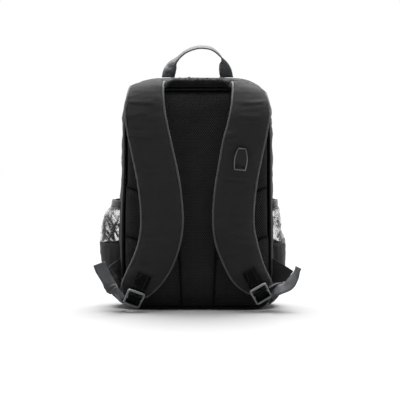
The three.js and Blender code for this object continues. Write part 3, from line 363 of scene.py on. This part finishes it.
def moulded_finish(name, dark, light, roughness, grain=0.9, sheen=0.0):
    """Moulded plastic or rubber with a fine grain and a cloudy tone."""
    finish = Finish(name, roughness=roughness, sheen=sheen, specular=0.5)
    where = finish.place()
    speck = finish.grain(where, grain, 3.0)
    cloud = finish.grain(where, 12.0, 3.0)
    finish.colour(finish.blend(cloud * 0.7 + speck * 0.3, dark, light))
    finish.rough(roughness - 0.08 + cloud * 0.16)
    finish.relief(speck, 0.06, 0.4)
    return finish.material


def net_finish(name, dark, light):
    """See-through net of staggered holes, closing up where the piece carries shade, as at its folds."""
    finish = Finish(name, roughness=0.75, sheen=0.2, specular=0.35)
    along, across = finish.along()
    near = []
    for shift in (0.0, 0.5):
        a = ((across / NET_ACROSS + shift).part() - 0.5) * 2.0
        b = ((along / NET_DOWN + shift).part() - 0.5) * 2.0
        near.append(a * a + b * b)
    gap = near[0].least(near[1])
    folds = finish.mark("shade")
    low = 0.56 - folds * 0.5
    thread = gap.ramp(low, low + 0.06)
    where = finish.place()
    cloud = finish.grain(where, 7.0, 2.0)
    finish.colour(finish.blend(cloud, dark, light))
    finish.see_through(thread)
    finish.relief(thread, 0.3, 0.5)
    return finish.material


def port_finish(name, seat):
    """Moulded port: a paler rim, which is a painted highlight, round a sunk matt face with two small square
    sockets.
    """
    finish = Finish(name, roughness=0.5, specular=0.15)
    middle, over, up, out = seat
    where = finish.place()

    def reach(way, start):
        return finish.node(
            "ShaderNodeVectorMath", {"operation": "DOT_PRODUCT"}, where, tuple(way), out=1
        ) - float(np.dot(way, start))

    a, b, lift = reach(over, middle), reach(up, middle), reach(out, middle)
    speck = finish.grain(where, 0.8, 3.0)
    cloud = finish.grain(where, 9.0, 3.0)
    rim = lift.ramp(-0.75, -0.25)
    sockets = None
    for side in (-SOCKET_ASIDE, SOCKET_ASIDE):
        spot = 1.0 - ((a - side).size()).most((b + SOCKET_DOWN).size()).ramp(SOCKET_HALF, SOCKET_EDGE)
        sockets = spot if sockets is None else sockets.most(spot)
    matt = finish.blend(cloud * 0.7 + speck * 0.3, (0.007, 0.007, 0.0073), (0.015, 0.015, 0.0155))
    # Painted highlight: the raised rim is paler than the matt face.
    rim_highlight = finish.blend(cloud, (0.09, 0.09, 0.093), (0.2, 0.2, 0.205))
    face = finish.blend(rim, matt, rim_highlight)
    finish.colour(finish.blend(sockets * (1.0 - rim), face, (0.003, 0.003, 0.003)))
    finish.rough(0.6 - rim * 0.22)
    finish.relief(speck * 0.1 - sockets * (1.0 - rim), 0.5, 0.6)
    return finish.material


STRAP_CLOTH = cloth_finish("strap cloth", (0.007, 0.007, 0.0073), (0.024, 0.024, 0.0245))
BODY_CLOTH = cloth_finish("body cloth", (0.009, 0.009, 0.0093), (0.028, 0.028, 0.0285), pitch=1.0)
# Yoke cloth: paler than the strap cloth it continues, as painted light on its lit crumpled top, and
# near-black in its front window as painted shade.
YOKE_CLOTH_PAINTED_LIGHT_AND_SHADE = cloth_finish(
    "yoke cloth with painted light and shade", (0.016, 0.016, 0.0165), (0.045, 0.045, 0.046), painted_shade=(0.004, 0.004, 0.0042)
)
SPACER_MESH = spacer_finish("spacer mesh", (0.001, 0.001, 0.001), (0.026, 0.026, 0.0265))
# Webbing painted paler than the strap cloth: painted light, standing in for the light that catches its
# sideways-facing tails.
PAINTED_LIT_WEBBING = webbing_finish("webbing", (0.028, 0.029, 0.031), (0.085, 0.087, 0.092))
# The same webbing painted near-black as painted shade, for the front-facing patches and the loops in the
# buckles.
PAINTED_SHADE_WEBBING = webbing_finish(
    "webbing in painted shade", (0.001, 0.001, 0.0011), (0.006, 0.006, 0.0062), edge=0.0, specular=0.03
)
# Strap binding painted paler than the strap cloth: a painted highlight standing in for the light that
# grazes the strap outlines.
EDGE_TAPE_PAINTED_LIT = tape_finish("edge tape with painted highlight", (0.02, 0.0205, 0.0215), (0.085, 0.087, 0.092), seam=0.0)
COLLAR_TAPE = tape_finish("collar tape", (0.02, 0.0205, 0.0215), (0.06, 0.061, 0.064), rib=1.3)
# Piping painted near-black, darker than any cloth, as painted shade for the shadowed gap between the back
# panel and the side cloth.
PAINTED_SHADE_PIPING = tape_finish("piping", (0.002, 0.002, 0.0022), (0.009, 0.009, 0.0095))
ZIP_TAPE = tape_finish("zip tape", (0.008, 0.008, 0.0085), (0.022, 0.022, 0.023), rib=0.7)
BUCKLE_PLASTIC = moulded_finish("buckle plastic", (0.085, 0.087, 0.092), (0.15, 0.153, 0.16), 0.34)
SLIDER_METAL = moulded_finish("slider enamel", (0.02, 0.02, 0.022), (0.04, 0.04, 0.043), 0.3)
COIL = moulded_finish("zip coil", (0.008, 0.008, 0.0085), (0.02, 0.02, 0.021), 0.35)
NET = net_finish("net", (0.008, 0.008, 0.0085), (0.024, 0.024, 0.025))
THREAD = moulded_finish("thread", (0.012, 0.012, 0.0125), (0.035, 0.035, 0.037), 0.6, sheen=0.3)
DARK_THREAD = moulded_finish("dark thread", (0.001, 0.001, 0.001), (0.004, 0.004, 0.004), 0.7)


# Handling meshes
def only(piece):
    bpy.ops.object.select_all(action="DESELECT")
    piece.select_set(True)
    bpy.context.view_layer.objects.active = piece


def editing(piece, *steps):
    """Runs edit-mode steps on the whole piece."""
    only(piece)
    bpy.ops.object.mode_set(mode="EDIT")
    bpy.ops.mesh.select_all(action="SELECT")
    for step in steps:
        step()
    bpy.ops.object.mode_set(mode="OBJECT")


def soft_copy(node, name):
    """A merged copy of a node's mesh, back in quads, to be shaped further."""
    piece = bpy.data.objects.new(name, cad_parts[node].data.copy())
    bpy.context.scene.collection.objects.link(piece)
    piece.data.materials.clear()
    editing(
        piece,
        lambda: bpy.ops.mesh.remove_doubles(threshold=0.05 * MM),
        lambda: bpy.ops.mesh.tris_convert_to_quads(
            face_threshold=math.radians(60), shape_threshold=math.radians(70)
        ),
    )
    return piece


def modify(piece, kind, **settings):
    """Adds a modifier and applies it."""
    only(piece)
    modifier = piece.modifiers.new(kind.lower(), kind)
    for key, value in settings.items():
        setattr(modifier, key, value)
    bpy.ops.object.modifier_apply(modifier=modifier.name)
    return piece


def crease_sharp(piece, angle, weight=1.0):
    editing(
        piece,
        lambda: bpy.ops.mesh.select_all(action="DESELECT"),
        lambda: bpy.ops.mesh.select_mode(type="EDGE"),
        lambda: bpy.ops.mesh.edges_select_sharp(sharpness=math.radians(angle)),
        lambda: bpy.ops.transform.edge_crease(value=weight),
        lambda: bpy.ops.mesh.select_mode(type="VERT"),
    )


def refine(piece, levels):
    return modify(piece, "SUBSURF", levels=levels, render_levels=levels)


def places(piece):
    """The piece's vertices in millimetres."""
    co = np.empty(len(piece.data.vertices) * 3)
    piece.data.vertices.foreach_get("co", co)
    return co.reshape(-1, 3) / MM


def outward(piece):
    normal = np.empty(len(piece.data.vertices) * 3)
    piece.data.vertices.foreach_get("normal", normal)
    return normal.reshape(-1, 3)


def put(piece, points):
    piece.data.vertices.foreach_set("co", (np.asarray(points) * MM).ravel())
    piece.data.update()


def swell(piece, amounts):
    """Moves each vertex out along its normal by so many millimetres."""
    put(piece, places(piece) + outward(piece) * np.asarray(amounts)[:, None])


def lumps(points, size, seed=0.0, octaves=2):
    """Smooth noise about 0 for each point. Size is one length or one for each axis."""
    scaled = np.asarray(points) / np.asarray(size) + seed * 17.3
    return np.array([noise.fractal(Vector(p), 0.6, 2.1, octaves) for p in scaled])


def soften(values, low, high):
    """0 up to low, 1 from high on, and a soft step between."""
    t = np.clip((np.asarray(values, float) - low) / (high - low), 0.0, 1.0)
    return t * t * (3 - 2 * t)


def beside(points, route):
    """How far each point (rows of two numbers) is from a route of straight lines."""
    best = np.full(len(points), 1e9)
    for a, b in zip(route, route[1:]):
        a, b = np.asarray(a, float), np.asarray(b, float)
        way = b - a
        share = np.clip((points - a) @ way / (way @ way), 0, 1)
        best = np.minimum(best, np.linalg.norm(points - a - share[:, None] * way, axis=1))
    return best


def middle_line(piece, start, step=6.0, reach=6.0):
    """Middle, direction along and direction across at steps down a long thin piece."""
    mesh = piece.data
    points = places(piece)
    links = [[] for _ in points]
    for edge in mesh.edges:
        a, b = edge.vertices
        length = float(np.linalg.norm(points[a] - points[b]))
        links[a].append((b, length))
        links[b].append((a, length))
    far = np.full(len(points), np.inf)
    queue = []
    near = np.linalg.norm(points - np.asarray(start), axis=1)
    for i in np.flatnonzero(near < near.min() + reach):
        far[i] = 0.0
        queue.append((0.0, int(i)))
    heapq.heapify(queue)
    while queue:
        length, i = heapq.heappop(queue)
        if length > far[i]:
            continue
        for j, more in links[i]:
            if length + more < far[j]:
                far[j] = length + more
                heapq.heappush(queue, (length + more, j))
    rows = []
    for low in np.arange(0, far[np.isfinite(far)].max() + step, step):
        ring = points[(far >= low - step * 0.6) & (far < low + step * 1.1)]
        if len(ring) >= 4:
            rows.append(ring)
    middles = np.array([ring.mean(axis=0) for ring in rows])
    for _ in range(2):
        middles[1:-1] = (middles[:-2] + 2 * middles[1:-1] + middles[2:]) / 4
    ways = np.gradient(middles, axis=0)
    ways /= np.linalg.norm(ways, axis=1)[:, None]
    acrosses = []
    for ring, middle, way in zip(rows, middles, ways):
        flat = (ring - middle) - ((ring - middle) @ way)[:, None] * way
        across = np.linalg.svd(flat, full_matrices=False)[2][0]
        if acrosses and across @ acrosses[-1] < 0:
            across = -across
        acrosses.append(across)
    acrosses = np.array(acrosses)
    for _ in range(2):
        acrosses[1:-1] = acrosses[:-2] + 2 * acrosses[1:-1] + acrosses[2:]
        acrosses /= np.linalg.norm(acrosses, axis=1)[:, None]
    return middles, ways, acrosses


def place_on_line(points, line):
    """How far along and across a middle line each point lies."""
    middles, ways, acrosses = line
    lengths = np.concatenate([[0.0], np.cumsum(np.linalg.norm(np.diff(middles, axis=0), axis=1))])
    along = np.zeros(len(points))
    across = np.zeros(len(points))
    best = np.full(len(points), np.inf)
    for i in range(len(middles) - 1):
        way = middles[i + 1] - middles[i]
        share = (points - middles[i]) @ way / (way @ way)
        inside = np.clip(share, 0, 1)
        if i == 0:
            inside = np.minimum(share, 1)
        if i == len(middles) - 2:
            inside = np.maximum(share, 0)
        spot = middles[i] + inside[:, None] * way
        held = np.clip(share, 0, 1)[:, None]
        off = np.linalg.norm(points - middles[i] - held * way, axis=1)
        nearer = off < best
        side = acrosses[i] * (1 - held) + acrosses[i + 1] * held
        value = np.einsum("ij,ij->i", points - spot, side)
        best[nearer] = off[nearer]
        along[nearer] = (lengths[i] + inside * np.linalg.norm(way))[nearer]
        across[nearer] = value[nearer]
    return along, across


def lay_map(piece, along, across, name="weave"):
    """Writes a map in metres from two values for each vertex, in millimetres."""
    layer = piece.data.uv_layers.new(name=name)
    corners = np.empty(len(piece.data.loops), int)
    piece.data.loops.foreach_get("vertex_index", corners)
    values = np.stack([along[corners], across[corners]], axis=1) * MM
    layer.data.foreach_set("uv", values.ravel())


def dress(piece, node, material):
    """The finished piece takes the place of its node."""
    only(piece)
    bpy.ops.object.shade_smooth()
    piece.data.materials.clear()
    piece.data.materials.append(material)
    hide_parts(node)
    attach(piece, "root")
    return piece


def mark(piece, values, name="shade"):
    """Gives each point of the piece a value that its finish reads."""
    layer = piece.data.attributes.new(name=name, type="FLOAT", domain="POINT")
    layer.data.foreach_set("value", np.asarray(values, np.float32))


def small_block(name, length, width, height):
    """A rounded block that lies along x with its foot at the origin: one stitch or one tooth."""
    bpy.ops.object.select_all(action="DESELECT")
    bpy.ops.mesh.primitive_cube_add(size=1.0)
    block = bpy.context.object
    block.name = name
    editing(
        block,
        lambda: bpy.ops.transform.resize(value=(length * MM, width * MM, height * MM)),
        lambda: bpy.ops.mesh.bevel(offset=min(width, height) * 0.3 * MM, segments=1, affect="EDGES"),
    )
    return block


def lay_blocks(name, block, spots):
    """A copy of the block at each place, turned along its way and standing on its normal, in one piece."""
    copies = []
    for place, way, normal in spots:
        way = Vector(way).normalized()
        up = Vector(normal)
        up = (up - way * up.dot(way)).normalized()
        copy = block.copy()
        copy.data = block.data.copy()
        bpy.context.scene.collection.objects.link(copy)
        turn = Matrix((way, up.cross(way), up)).transposed().to_4x4()
        copy.matrix_world = Matrix.Translation(Vector(place) * MM) @ turn
        copies.append(copy)
    bpy.data.objects.remove(block, do_unlink=True)
    bpy.ops.object.select_all(action="DESELECT")
    for copy in copies:
        copy.select_set(True)
    bpy.context.view_layer.objects.active = copies[0]
    bpy.ops.object.join()
    piece = bpy.context.object
    piece.name = name
    bpy.ops.object.transform_apply(location=True, rotation=True, scale=True)
    return piece


def add_on(piece, material):
    """Finishes a piece that lies on another one and replaces no node."""
    only(piece)
    bpy.ops.object.shade_smooth_by_angle(angle=math.radians(40))
    piece.data.materials.clear()
    piece.data.materials.append(material)
    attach(piece, "root")
    return piece


def stitches(name, surface, along, across, route, material, toward=(0.0, -1.0, 0.0), pitch=3.4):
    """Stitches on a piece down a route of (along, across) places, on the side that faces toward."""
    points, normals = places(surface), outward(surface)
    facing = np.flatnonzero(normals @ np.asarray(toward) > 0.3)
    spots = []
    for (a0, c0), (a1, c1) in zip(route, route[1:]):
        count = max(1, round(math.hypot(a1 - a0, c1 - c0) / pitch))
        for k in range(count):
            ends = []
            for share in ((k + 0.12) / count, (k + 0.82) / count):
                a, c = a0 + (a1 - a0) * share, c0 + (c1 - c0) * share
                off = (along[facing] - a) ** 2 + (across[facing] - c) ** 2
                near = facing[np.argsort(off)[:3]]
                weight = 1 / (np.sort(off)[:3] + 0.05)
                weight /= weight.sum()
                ends.append((weight @ points[near], weight @ normals[near]))
            way = ends[1][0] - ends[0][0]
            if np.linalg.norm(way) > 0.4:
                spots.append(((ends[0][0] + ends[1][0]) / 2, way, ends[0][1] + ends[1][1]))
    block = small_block(name, pitch * 0.66, 0.7, 0.6)
    return add_on(lay_blocks(name, block, spots), material)


def puff(piece, pressure, cap, frames=20):
    """Blows the piece up as cloth, and lets no point move further than cap."""
    before = places(piece)
    only(piece)
    cloth = piece.modifiers.new("cloth", "CLOTH")
    cloth.settings.use_pressure = True
    cloth.settings.uniform_pressure_force = pressure
    cloth.settings.effector_weights.gravity = 0.0
    cloth.point_cache.frame_end = frames
    for frame_number in range(1, frames + 1):
        bpy.context.scene.frame_set(frame_number)
    bpy.ops.object.modifier_apply(modifier=cloth.name)
    bpy.context.scene.frame_set(1)
    moved = places(piece) - before
    far = np.linalg.norm(moved, axis=1)
    put(piece, before + moved * np.minimum(1.0, cap / np.maximum(far, 1e-6))[:, None])


# Camera, light and floor
def camera():
    data = bpy.data.cameras.new("camera")
    data.sensor_width = SENSOR
    data.lens = SENSOR * CAMERA_AWAY / (IMAGE * PIXEL)
    data.clip_end = 100.0
    camera = bpy.data.objects.new("camera", data)
    bpy.context.scene.collection.objects.link(camera)
    rise = math.radians(CAMERA_RISE)
    back = Vector((0.0, -math.cos(rise), math.sin(rise)))
    camera.location = (Vector(VIEW_MIDDLE) + back * CAMERA_AWAY) * MM
    camera.rotation_euler = (-back).to_track_quat("-Z", "Y").to_euler()
    bpy.context.scene.camera = camera


def soft_box(name, place, aim, size, power):
    data = bpy.data.lights.new(name, "AREA")
    data.shape = "RECTANGLE"
    data.size, data.size_y = size
    data.energy = power
    light = bpy.data.objects.new(name, data)
    bpy.context.scene.collection.objects.link(light)
    light.location = place
    way = Vector(aim) - Vector(place)
    light.rotation_euler = way.to_track_quat("-Z", "Y").to_euler()


def studio():
    """Soft light from straight above and from both sides, and little from the front."""
    world = bpy.data.worlds.new("studio")
    bpy.context.scene.world = world
    world.use_nodes = True
    tree = world.node_tree
    tree.nodes.clear()
    output = tree.nodes.new("ShaderNodeOutputWorld")
    white = tree.nodes.new("ShaderNodeBackground")
    white.inputs["Color"].default_value = (1.0, 1.0, 1.0, 1.0)
    soft = tree.nodes.new("ShaderNodeBackground")
    soft.inputs["Color"].default_value = (1.0, 1.0, 1.0, 1.0)
    soft.inputs["Strength"].default_value = 0.15
    path = tree.nodes.new("ShaderNodeLightPath")
    pick = tree.nodes.new("ShaderNodeMixShader")
    tree.links.new(path.outputs["Is Camera Ray"], pick.inputs[0])
    tree.links.new(soft.outputs[0], pick.inputs[1])
    tree.links.new(white.outputs[0], pick.inputs[2])
    tree.links.new(pick.outputs[0], output.inputs["Surface"])
    sky = bpy.data.lights.new("top light", "SUN")
    sky.energy = SKY_STRENGTH
    sky.angle = math.radians(SKY_SPREAD)
    top = bpy.data.objects.new("top light", sky)
    bpy.context.scene.collection.objects.link(top)
    top.rotation_euler = (math.radians(SKY_TILT), 0.0, 0.0)
    for name, (place, size, power) in SOFT_BOXES.items():
        soft_box(name, place, LIGHT_AIM, size, power)
    bpy.context.scene.view_settings.view_transform = "Standard"


def floor():
    bpy.ops.object.select_all(action="DESELECT")
    bpy.ops.mesh.primitive_plane_add(size=16.0, location=(0.0, 0.0, -0.0004))
    ground = bpy.context.object
    ground.name = "floor"
    only(ground)
    bpy.ops.object.transform_apply()
    finish = Finish("floor white", roughness=0.3, specular=0.35)
    haze = finish.grain(finish.place(), 900.0, 2.0)
    finish.colour(finish.blend(haze, (0.22, 0.22, 0.22), (0.235, 0.235, 0.235)))
    ground.data.materials.append(finish.material)


# Pieces
# Light wrinkles across the straps: height, middle x, half length, lean of the line, and depth.
WRINKLES = {
    "left": [
        (398.0, -106.0, 30.0, -0.10, 0.8),
        (376.0, -112.0, 22.0, 0.16, 0.9),
        (339.0, -108.0, 26.0, -0.08, 1.2),
        (272.0, -84.0, 24.0, 0.12, 0.9),
        (150.0, -80.0, 26.0, 0.10, 0.9),
    ],
    "right": [
        (398.0, 104.0, 30.0, 0.12, 0.8),
        (372.0, 98.0, 24.0, -0.10, 0.9),
        (339.0, 62.0, 16.0, 0.22, 1.6),
        (330.0, 66.0, 14.0, 0.25, 1.2),
        (256.0, 74.0, 26.0, -0.12, 1.3),
        (146.0, 84.0, 24.0, -0.10, 0.9),
    ],
}
# Folds in the side nets, in x without its sign and z.
NET_FOLDS = [
    [(181.0, 179.0), (169.0, 156.0), (158.0, 158.0)],
    [(173.0, 166.0), (161.0, 134.0)],
    [(160.0, 168.0), (175.0, 132.0)],
    [(186.0, 150.0), (168.0, 128.0)],
    [(184.0, 186.0), (186.0, 132.0)],
]
# The rounded window of painted shade on the yoke's front band: half width, top and corner.
YOKE_SHADE_WINDOW = (61.0, 443.5, 19.0)


def body():
    """Cloth skin of the main bag, with its sags and folds."""
    skin = soft_copy("body_shell", "body_skin")
    refine(skin, 2)
    points = places(skin)
    away = soften(points[:, 1], -58, -35) * soften(points[:, 2], 6, 40)
    fold = lumps(points, (60.0, 70.0, 26.0), 1) * 2.4 + lumps(points, (26.0, 34.0, 14.0), 2) * 0.8
    swell(skin, fold * away)
    dress(skin, "body_shell", BODY_CLOTH)


def back_panel():
    """Quilted spacer mesh over foam, with painted shade along its sewn grooves."""
    panel = soft_copy("back_panel", "back_pad")
    modify(panel, "REMESH", mode="VOXEL", voxel_size=5.0 * MM)
    before = places(panel)
    puff(panel, 4.0, 2.5)
    after = places(panel)
    front = soften(-before[:, 1], 62, 66)
    put(panel, before + (after - before) * front[:, None])
    refine(panel, 1)
    modify(panel, "SMOOTH", factor=0.5, iterations=3)
    points = places(panel)
    flat = np.stack([np.abs(points[:, 0]), points[:, 2]], axis=1)
    near = np.min([beside(flat, route) for route in GROOVES.values()], axis=0)
    face = soften(-points[:, 1], 64, 68)
    pad = 1.9 * (1 - np.exp(-near / 14)) - 2.6 * np.exp(-((near / 2.6) ** 2))
    pad += lumps(points, 60.0, 3) * 0.9
    put(panel, points + np.array([0.0, -1.0, 0.0]) * (pad * face)[:, None])
    # Marks the grooves, which the mesh's finish paints in shade.
    mark(panel, np.exp(-((near / 2.2) ** 2)) * face)
    dress(panel, "back_panel", SPACER_MESH)


def yoke():
    """Padded roll between the strap roots, gathered round a rounded window of painted shade."""
    roll = soft_copy("yoke", "yoke_roll")
    refine(roll, 3)
    points = places(roll)
    wide, top, corner = YOKE_SHADE_WINDOW
    out_x = np.maximum(np.abs(points[:, 0]) - (wide - corner), 0)
    out_z = np.maximum(points[:, 2] - (top - corner), 0)
    outside = np.hypot(out_x, out_z) - corner
    inside = soften(-outside, -1.5, 1.5) * soften(-points[:, 1], 52, 58)
    crumple = lumps(points, (9.0, 16.0, 22.0), 4) * 2.0 + lumps(points, (4.5, 8.0, 12.0), 5) * 0.9
    gather = np.sin(np.arctan2(points[:, 2] - 424, np.abs(points[:, 0])) * 26) * 0.7
    lip = np.exp(-((outside - 2.5) / 2.5) ** 2) * 1.2
    swell(roll, (crumple * soften(points[:, 2], 430, 444) + gather + lip) * (1 - inside) - inside * 0.8)
    # Marks the window, where the yoke cloth is painted in shade.
    mark(roll, inside)
    dress(roll, "yoke", YOKE_CLOTH_PAINTED_LIGHT_AND_SHADE)


def wrinkled(points, rows):
    """Raised and sunk lines across a strap, from a table of wrinkles."""
    height = np.zeros(len(points))
    for z, x, half, lean, depth in rows:
        off = (points[:, 2] - z - lean * (points[:, 0] - x)) / 4.5
        ends = 1 - soften(np.abs(points[:, 0] - x), half * 0.5, half)
        height += depth * 2.0 * off * np.exp(-off ** 2) * ends
    return height


def straps():
    for side in ("left", "right"):
        pad = soft_copy("strap_" + side, side + "_strap_pad")
        crease_sharp(pad, 50, 0.8)
        refine(pad, 3)
        points = places(pad)
        seed = 6 if side == "left" else 7
        fold = lumps(points, (70.0, 40.0, 20.0), seed) * 1.0
        fold = fold + lumps(points, (30.0, 30.0, 11.0), seed + 3) * 0.4
        swell(pad, fold + wrinkled(points, WRINKLES[side]))
        dress(pad, "strap_" + side, STRAP_CLOTH)
        tape = soft_copy("strap_binding_" + side, side + "_strap_edge")
        root = places(tape)[places(tape)[:, 1] > -77]
        line = middle_line(tape, root[np.argmin(np.abs(root[:, 0]))], step=8.0, reach=9.0)
        refine(tape, 2)
        along, across = place_on_line(places(tape), line)
        lay_map(tape, along, across)
        swell(tape, lumps(places(tape), 5.0, seed) * 0.3 + wrinkled(places(tape), WRINKLES[side]) * 0.6)
        dress(tape, "strap_binding_" + side, EDGE_TAPE_PAINTED_LIT)


def ribbon_piece(node, name, start, material, levels=2, rough=0.35):
    """Webbing from its node, with the weave laid along it. Gives the piece and its map."""
    piece = soft_copy(node, name)
    line = middle_line(piece, start)
    crease_sharp(piece, 50)
    refine(piece, levels)
    along, across = place_on_line(places(piece), line)
    lay_map(piece, along, across)
    swell(piece, lumps(places(piece), 14.0, len(name)) * rough)
    dress(piece, node, material)
    return piece, along, across


def webbings():
    for side in ("left", "right"):
        low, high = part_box("buckle_" + side)
        middle = np.array((low + high) / 2) / MM
        for kind, material in [
            ("webbing", PAINTED_LIT_WEBBING),
            ("webbing_tail", PAINTED_LIT_WEBBING),
            ("webbing_loop", PAINTED_SHADE_WEBBING),
        ]:
            node = kind + "_" + side
            strip, along, across = ribbon_piece(node, node + "_strip", middle, material)
            if kind == "webbing_tail":
                hem, half = along.max() - HEM_SEAM["far"], HEM_SEAM["half"]
                for face, toward in [("front", (0.0, -1.0, 0.0)), ("rear", (0.0, 1.0, 0.0))]:
                    route = [(hem, -half), (hem, half)]
                    stitches(f"{side}_hem_{face}_stitches", strip, along, across, route, THREAD, toward)
        patch, along, across = ribbon_piece("strap_patch_" + side, side + "_patch", middle, PAINTED_SHADE_WEBBING)
        far, near = along.max() - PATCH_SEAM["far"], along.max() - PATCH_SEAM["near"]
        half = PATCH_SEAM["half"]
        route = [(far, -half), (far, half), (near, half), (near, -half), (far, -half)]
        stitches(side + "_patch_stitches", patch, along, across, route, DARK_THREAD)


def wings():
    for side in ("left", "right"):
        wing = soft_copy("wing_" + side, side + "_wing")
        crease_sharp(wing, 60, 0.6)
        refine(wing, 3)
        swell(wing, lumps(places(wing), (20.0, 20.0, 12.0), 9) * 1.0)
        dress(wing, "wing_" + side, BODY_CLOTH)


def handle():
    """Webbing grab handle, with a stitched box over each foot."""
    low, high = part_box("handle")
    start = (low.x / MM + 12.0, (low.y + high.y) / 2 / MM, low.z / MM)
    grip, along, across = ribbon_piece("handle", "grab_handle", start, PAINTED_LIT_WEBBING)
    half, near, far = FOOT_SEAM["half"], FOOT_SEAM["near"], FOOT_SEAM["far"]
    for name, foot, top in [("left", near, far), ("right", along.max() - near, along.max() - far)]:
        route = [(foot, -half), (top, -half), (top, half), (foot, half), (foot, -half)]
        stitches(name + "_foot_stitches", grip, along, across, route, THREAD)


def pockets():
    """Side pockets: cloth base, crumpled net and an elastic collar."""
    for side in ("left", "right"):
        for part, material, slot in [
            ("base", BODY_CLOTH, "cloth"),
            ("mesh", NET, "mesh"),
            ("collar", COLLAR_TAPE, "binding"),
        ]:
            node = "pocket_" + part + "_" + side
            piece = soft_copy(node, side + "_pocket_" + part)
            crease_sharp(piece, 60, 0.7)
            refine(piece, 3 if part == "mesh" else 2)
            points = places(piece)
            wide = np.abs(points[:, 0])
            around = points[:, 1] + np.tanh(points[:, 1] / 15.0) * (wide.max() - wide) * 1.3
            if part == "mesh":
                lay_map(piece, points[:, 2], around)
                flat = np.stack([wide, points[:, 2]], axis=1)
                near = np.min([beside(flat, route) for route in NET_FOLDS], axis=0)
                ridges = np.abs(lumps(points, (11.0, 13.0, 15.0), 21, 1))
                folds = np.exp(-((near / 2.0) ** 2)) + np.exp(-((ridges / 0.07) ** 2)) * 0.8
                folds += soften(points[:, 2], points[:, 2].max() - 7, points[:, 2].max() - 3) * 0.7
                folds = np.clip(folds, 0, 1)
                mark(piece, folds)
                swell(piece, lumps(points, (16.0, 16.0, 12.0), 11) * 1.8 + folds * 0.8)
            else:
                lay_map(piece, around, points[:, 2])
                creases = lumps(points, (9.0, 12.0, 60.0), 12) * 1.2 if part == "base" else 0.0
                swell(piece, lumps(points, (24.0, 20.0, 16.0), 11) * 1.2 + creases)
            dress(piece, node, material)


def panel_edge():
    cord = soft_copy("panel_binding", "panel_piping")
    refine(cord, 1)
    points = places(cord)
    angle = np.arctan2(points[:, 2] - 210, points[:, 0])
    lay_map(cord, angle * 180.0, points[:, 1] + 60)
    # The piping takes the near-black finish of painted shade for the gap along the panel's edge.
    dress(cord, "panel_binding", PAINTED_SHADE_PIPING)


def zips():
    """Zip tapes, each with a row of coil teeth down its middle."""
    for node, name, teeth in [
        ("main_zip", "main_zip_tape", "main_zip_teeth"),
        ("front_pocket_zip", "front_zip_tape", "front_zip_teeth"),
    ]:
        tape = soft_copy(node, name)
        points = places(tape)
        start = points[np.argmin(points[:, 0] + points[:, 2] * 2)]
        line = middle_line(tape, start, step=5.0)
        along, across = place_on_line(points, line)
        lay_map(tape, along, across)
        dress(tape, node, ZIP_TAPE)
        middles, ways, acrosses = line
        lengths = np.concatenate([[0.0], np.cumsum(np.linalg.norm(np.diff(middles, axis=0), axis=1))])
        spots = []
        for step, at in enumerate(np.arange(ZIP_END, lengths[-1] - ZIP_END, TOOTH_PITCH)):
            place, way, across_way = (
                np.array([np.interp(at, lengths, rows[:, k]) for k in range(3)])
                for rows in (middles, ways, acrosses)
            )
            out = np.cross(way, across_way)
            if out @ (place - np.array([0.0, 0.0, 225.0])) < 0:
                out = -out
            side = TOOTH_ASIDE if step % 2 else -TOOTH_ASIDE
            spots.append((place + out * TOOTH_OUT + across_way * side, across_way, out))
        add_on(lay_blocks(teeth, small_block(teeth, *TOOTH), spots), COIL)


def front_pocket():
    pocket = soft_copy("front_pocket", "front_pocket_cloth")
    refine(pocket, 2)
    swell(pocket, lumps(places(pocket), (50.0, 50.0, 30.0), 13) * 1.5)
    dress(pocket, "front_pocket", BODY_CLOTH)


def rounded(node, name, material, width=0.5):
    """A moulded piece from its node, with its sharp edges rounded."""
    piece = soft_copy(node, name)
    modify(piece, "BEVEL", width=width * MM, segments=2, limit_method="ANGLE", angle_limit=math.radians(35))
    dress(piece, node, material)
    only(piece)
    bpy.ops.object.shade_smooth_by_angle(angle=math.radians(40))
    return piece


def port():
    """Charging port on the right strap, with a raised rim round a sunk face."""
    points = places(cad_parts["usb_housing"])
    middle = (points.max(axis=0) + points.min(axis=0)) / 2
    up, over, out = np.linalg.svd(points - points.mean(axis=0), full_matrices=False)[2]
    up, over, out = up * np.sign(up[2]), over * np.sign(over[0]), out * -np.sign(out[1])
    top = ((points - middle) @ out).max()
    seat = (middle + out * top, over, up, out)
    housing = soft_copy("usb_housing", "port_housing")
    face = [
        polygon.index
        for polygon in housing.data.polygons
        if np.dot(polygon.normal, out) > 0.9 and np.dot(np.array(polygon.center) / MM - seat[0], out) > -0.3
    ]
    only(housing)
    bpy.ops.object.mode_set(mode="EDIT")
    bpy.ops.mesh.select_all(action="DESELECT")
    bpy.ops.object.mode_set(mode="OBJECT")
    for polygon in housing.data.polygons:
        polygon.select = polygon.index in set(face)
    bpy.ops.object.mode_set(mode="EDIT")
    bpy.ops.mesh.select_mode(type="FACE")
    bpy.ops.mesh.inset(thickness=RIM_WIDTH * MM, depth=0.0)
    bpy.ops.transform.translate(value=tuple(-out * RIM_HEIGHT * MM))
    bpy.ops.mesh.select_mode(type="VERT")
    bpy.ops.object.mode_set(mode="OBJECT")
    dress(housing, "usb_housing", port_finish("port rubber", seat))
    only(housing)
    bpy.ops.object.shade_smooth_by_angle(angle=math.radians(12))


def hard_parts():
    for node, material in [
        ("buckle_left", BUCKLE_PLASTIC),
        ("buckle_right", BUCKLE_PLASTIC),
        ("zip_slider_left", SLIDER_METAL),
        ("zip_slider_right", SLIDER_METAL),
        ("front_zip_slider", SLIDER_METAL),
    ]:
        rounded(node, "moulded_" + node, material)
    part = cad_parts["usb_socket"]
    part.data.materials.clear()
    part.data.materials.append(SLIDER_METAL)


camera()
studio()
floor()
body()
back_panel()
yoke()
straps()
webbings()
wings()
handle()
pockets()
panel_edge()
zips()
front_pocket()
port()
hard_parts()
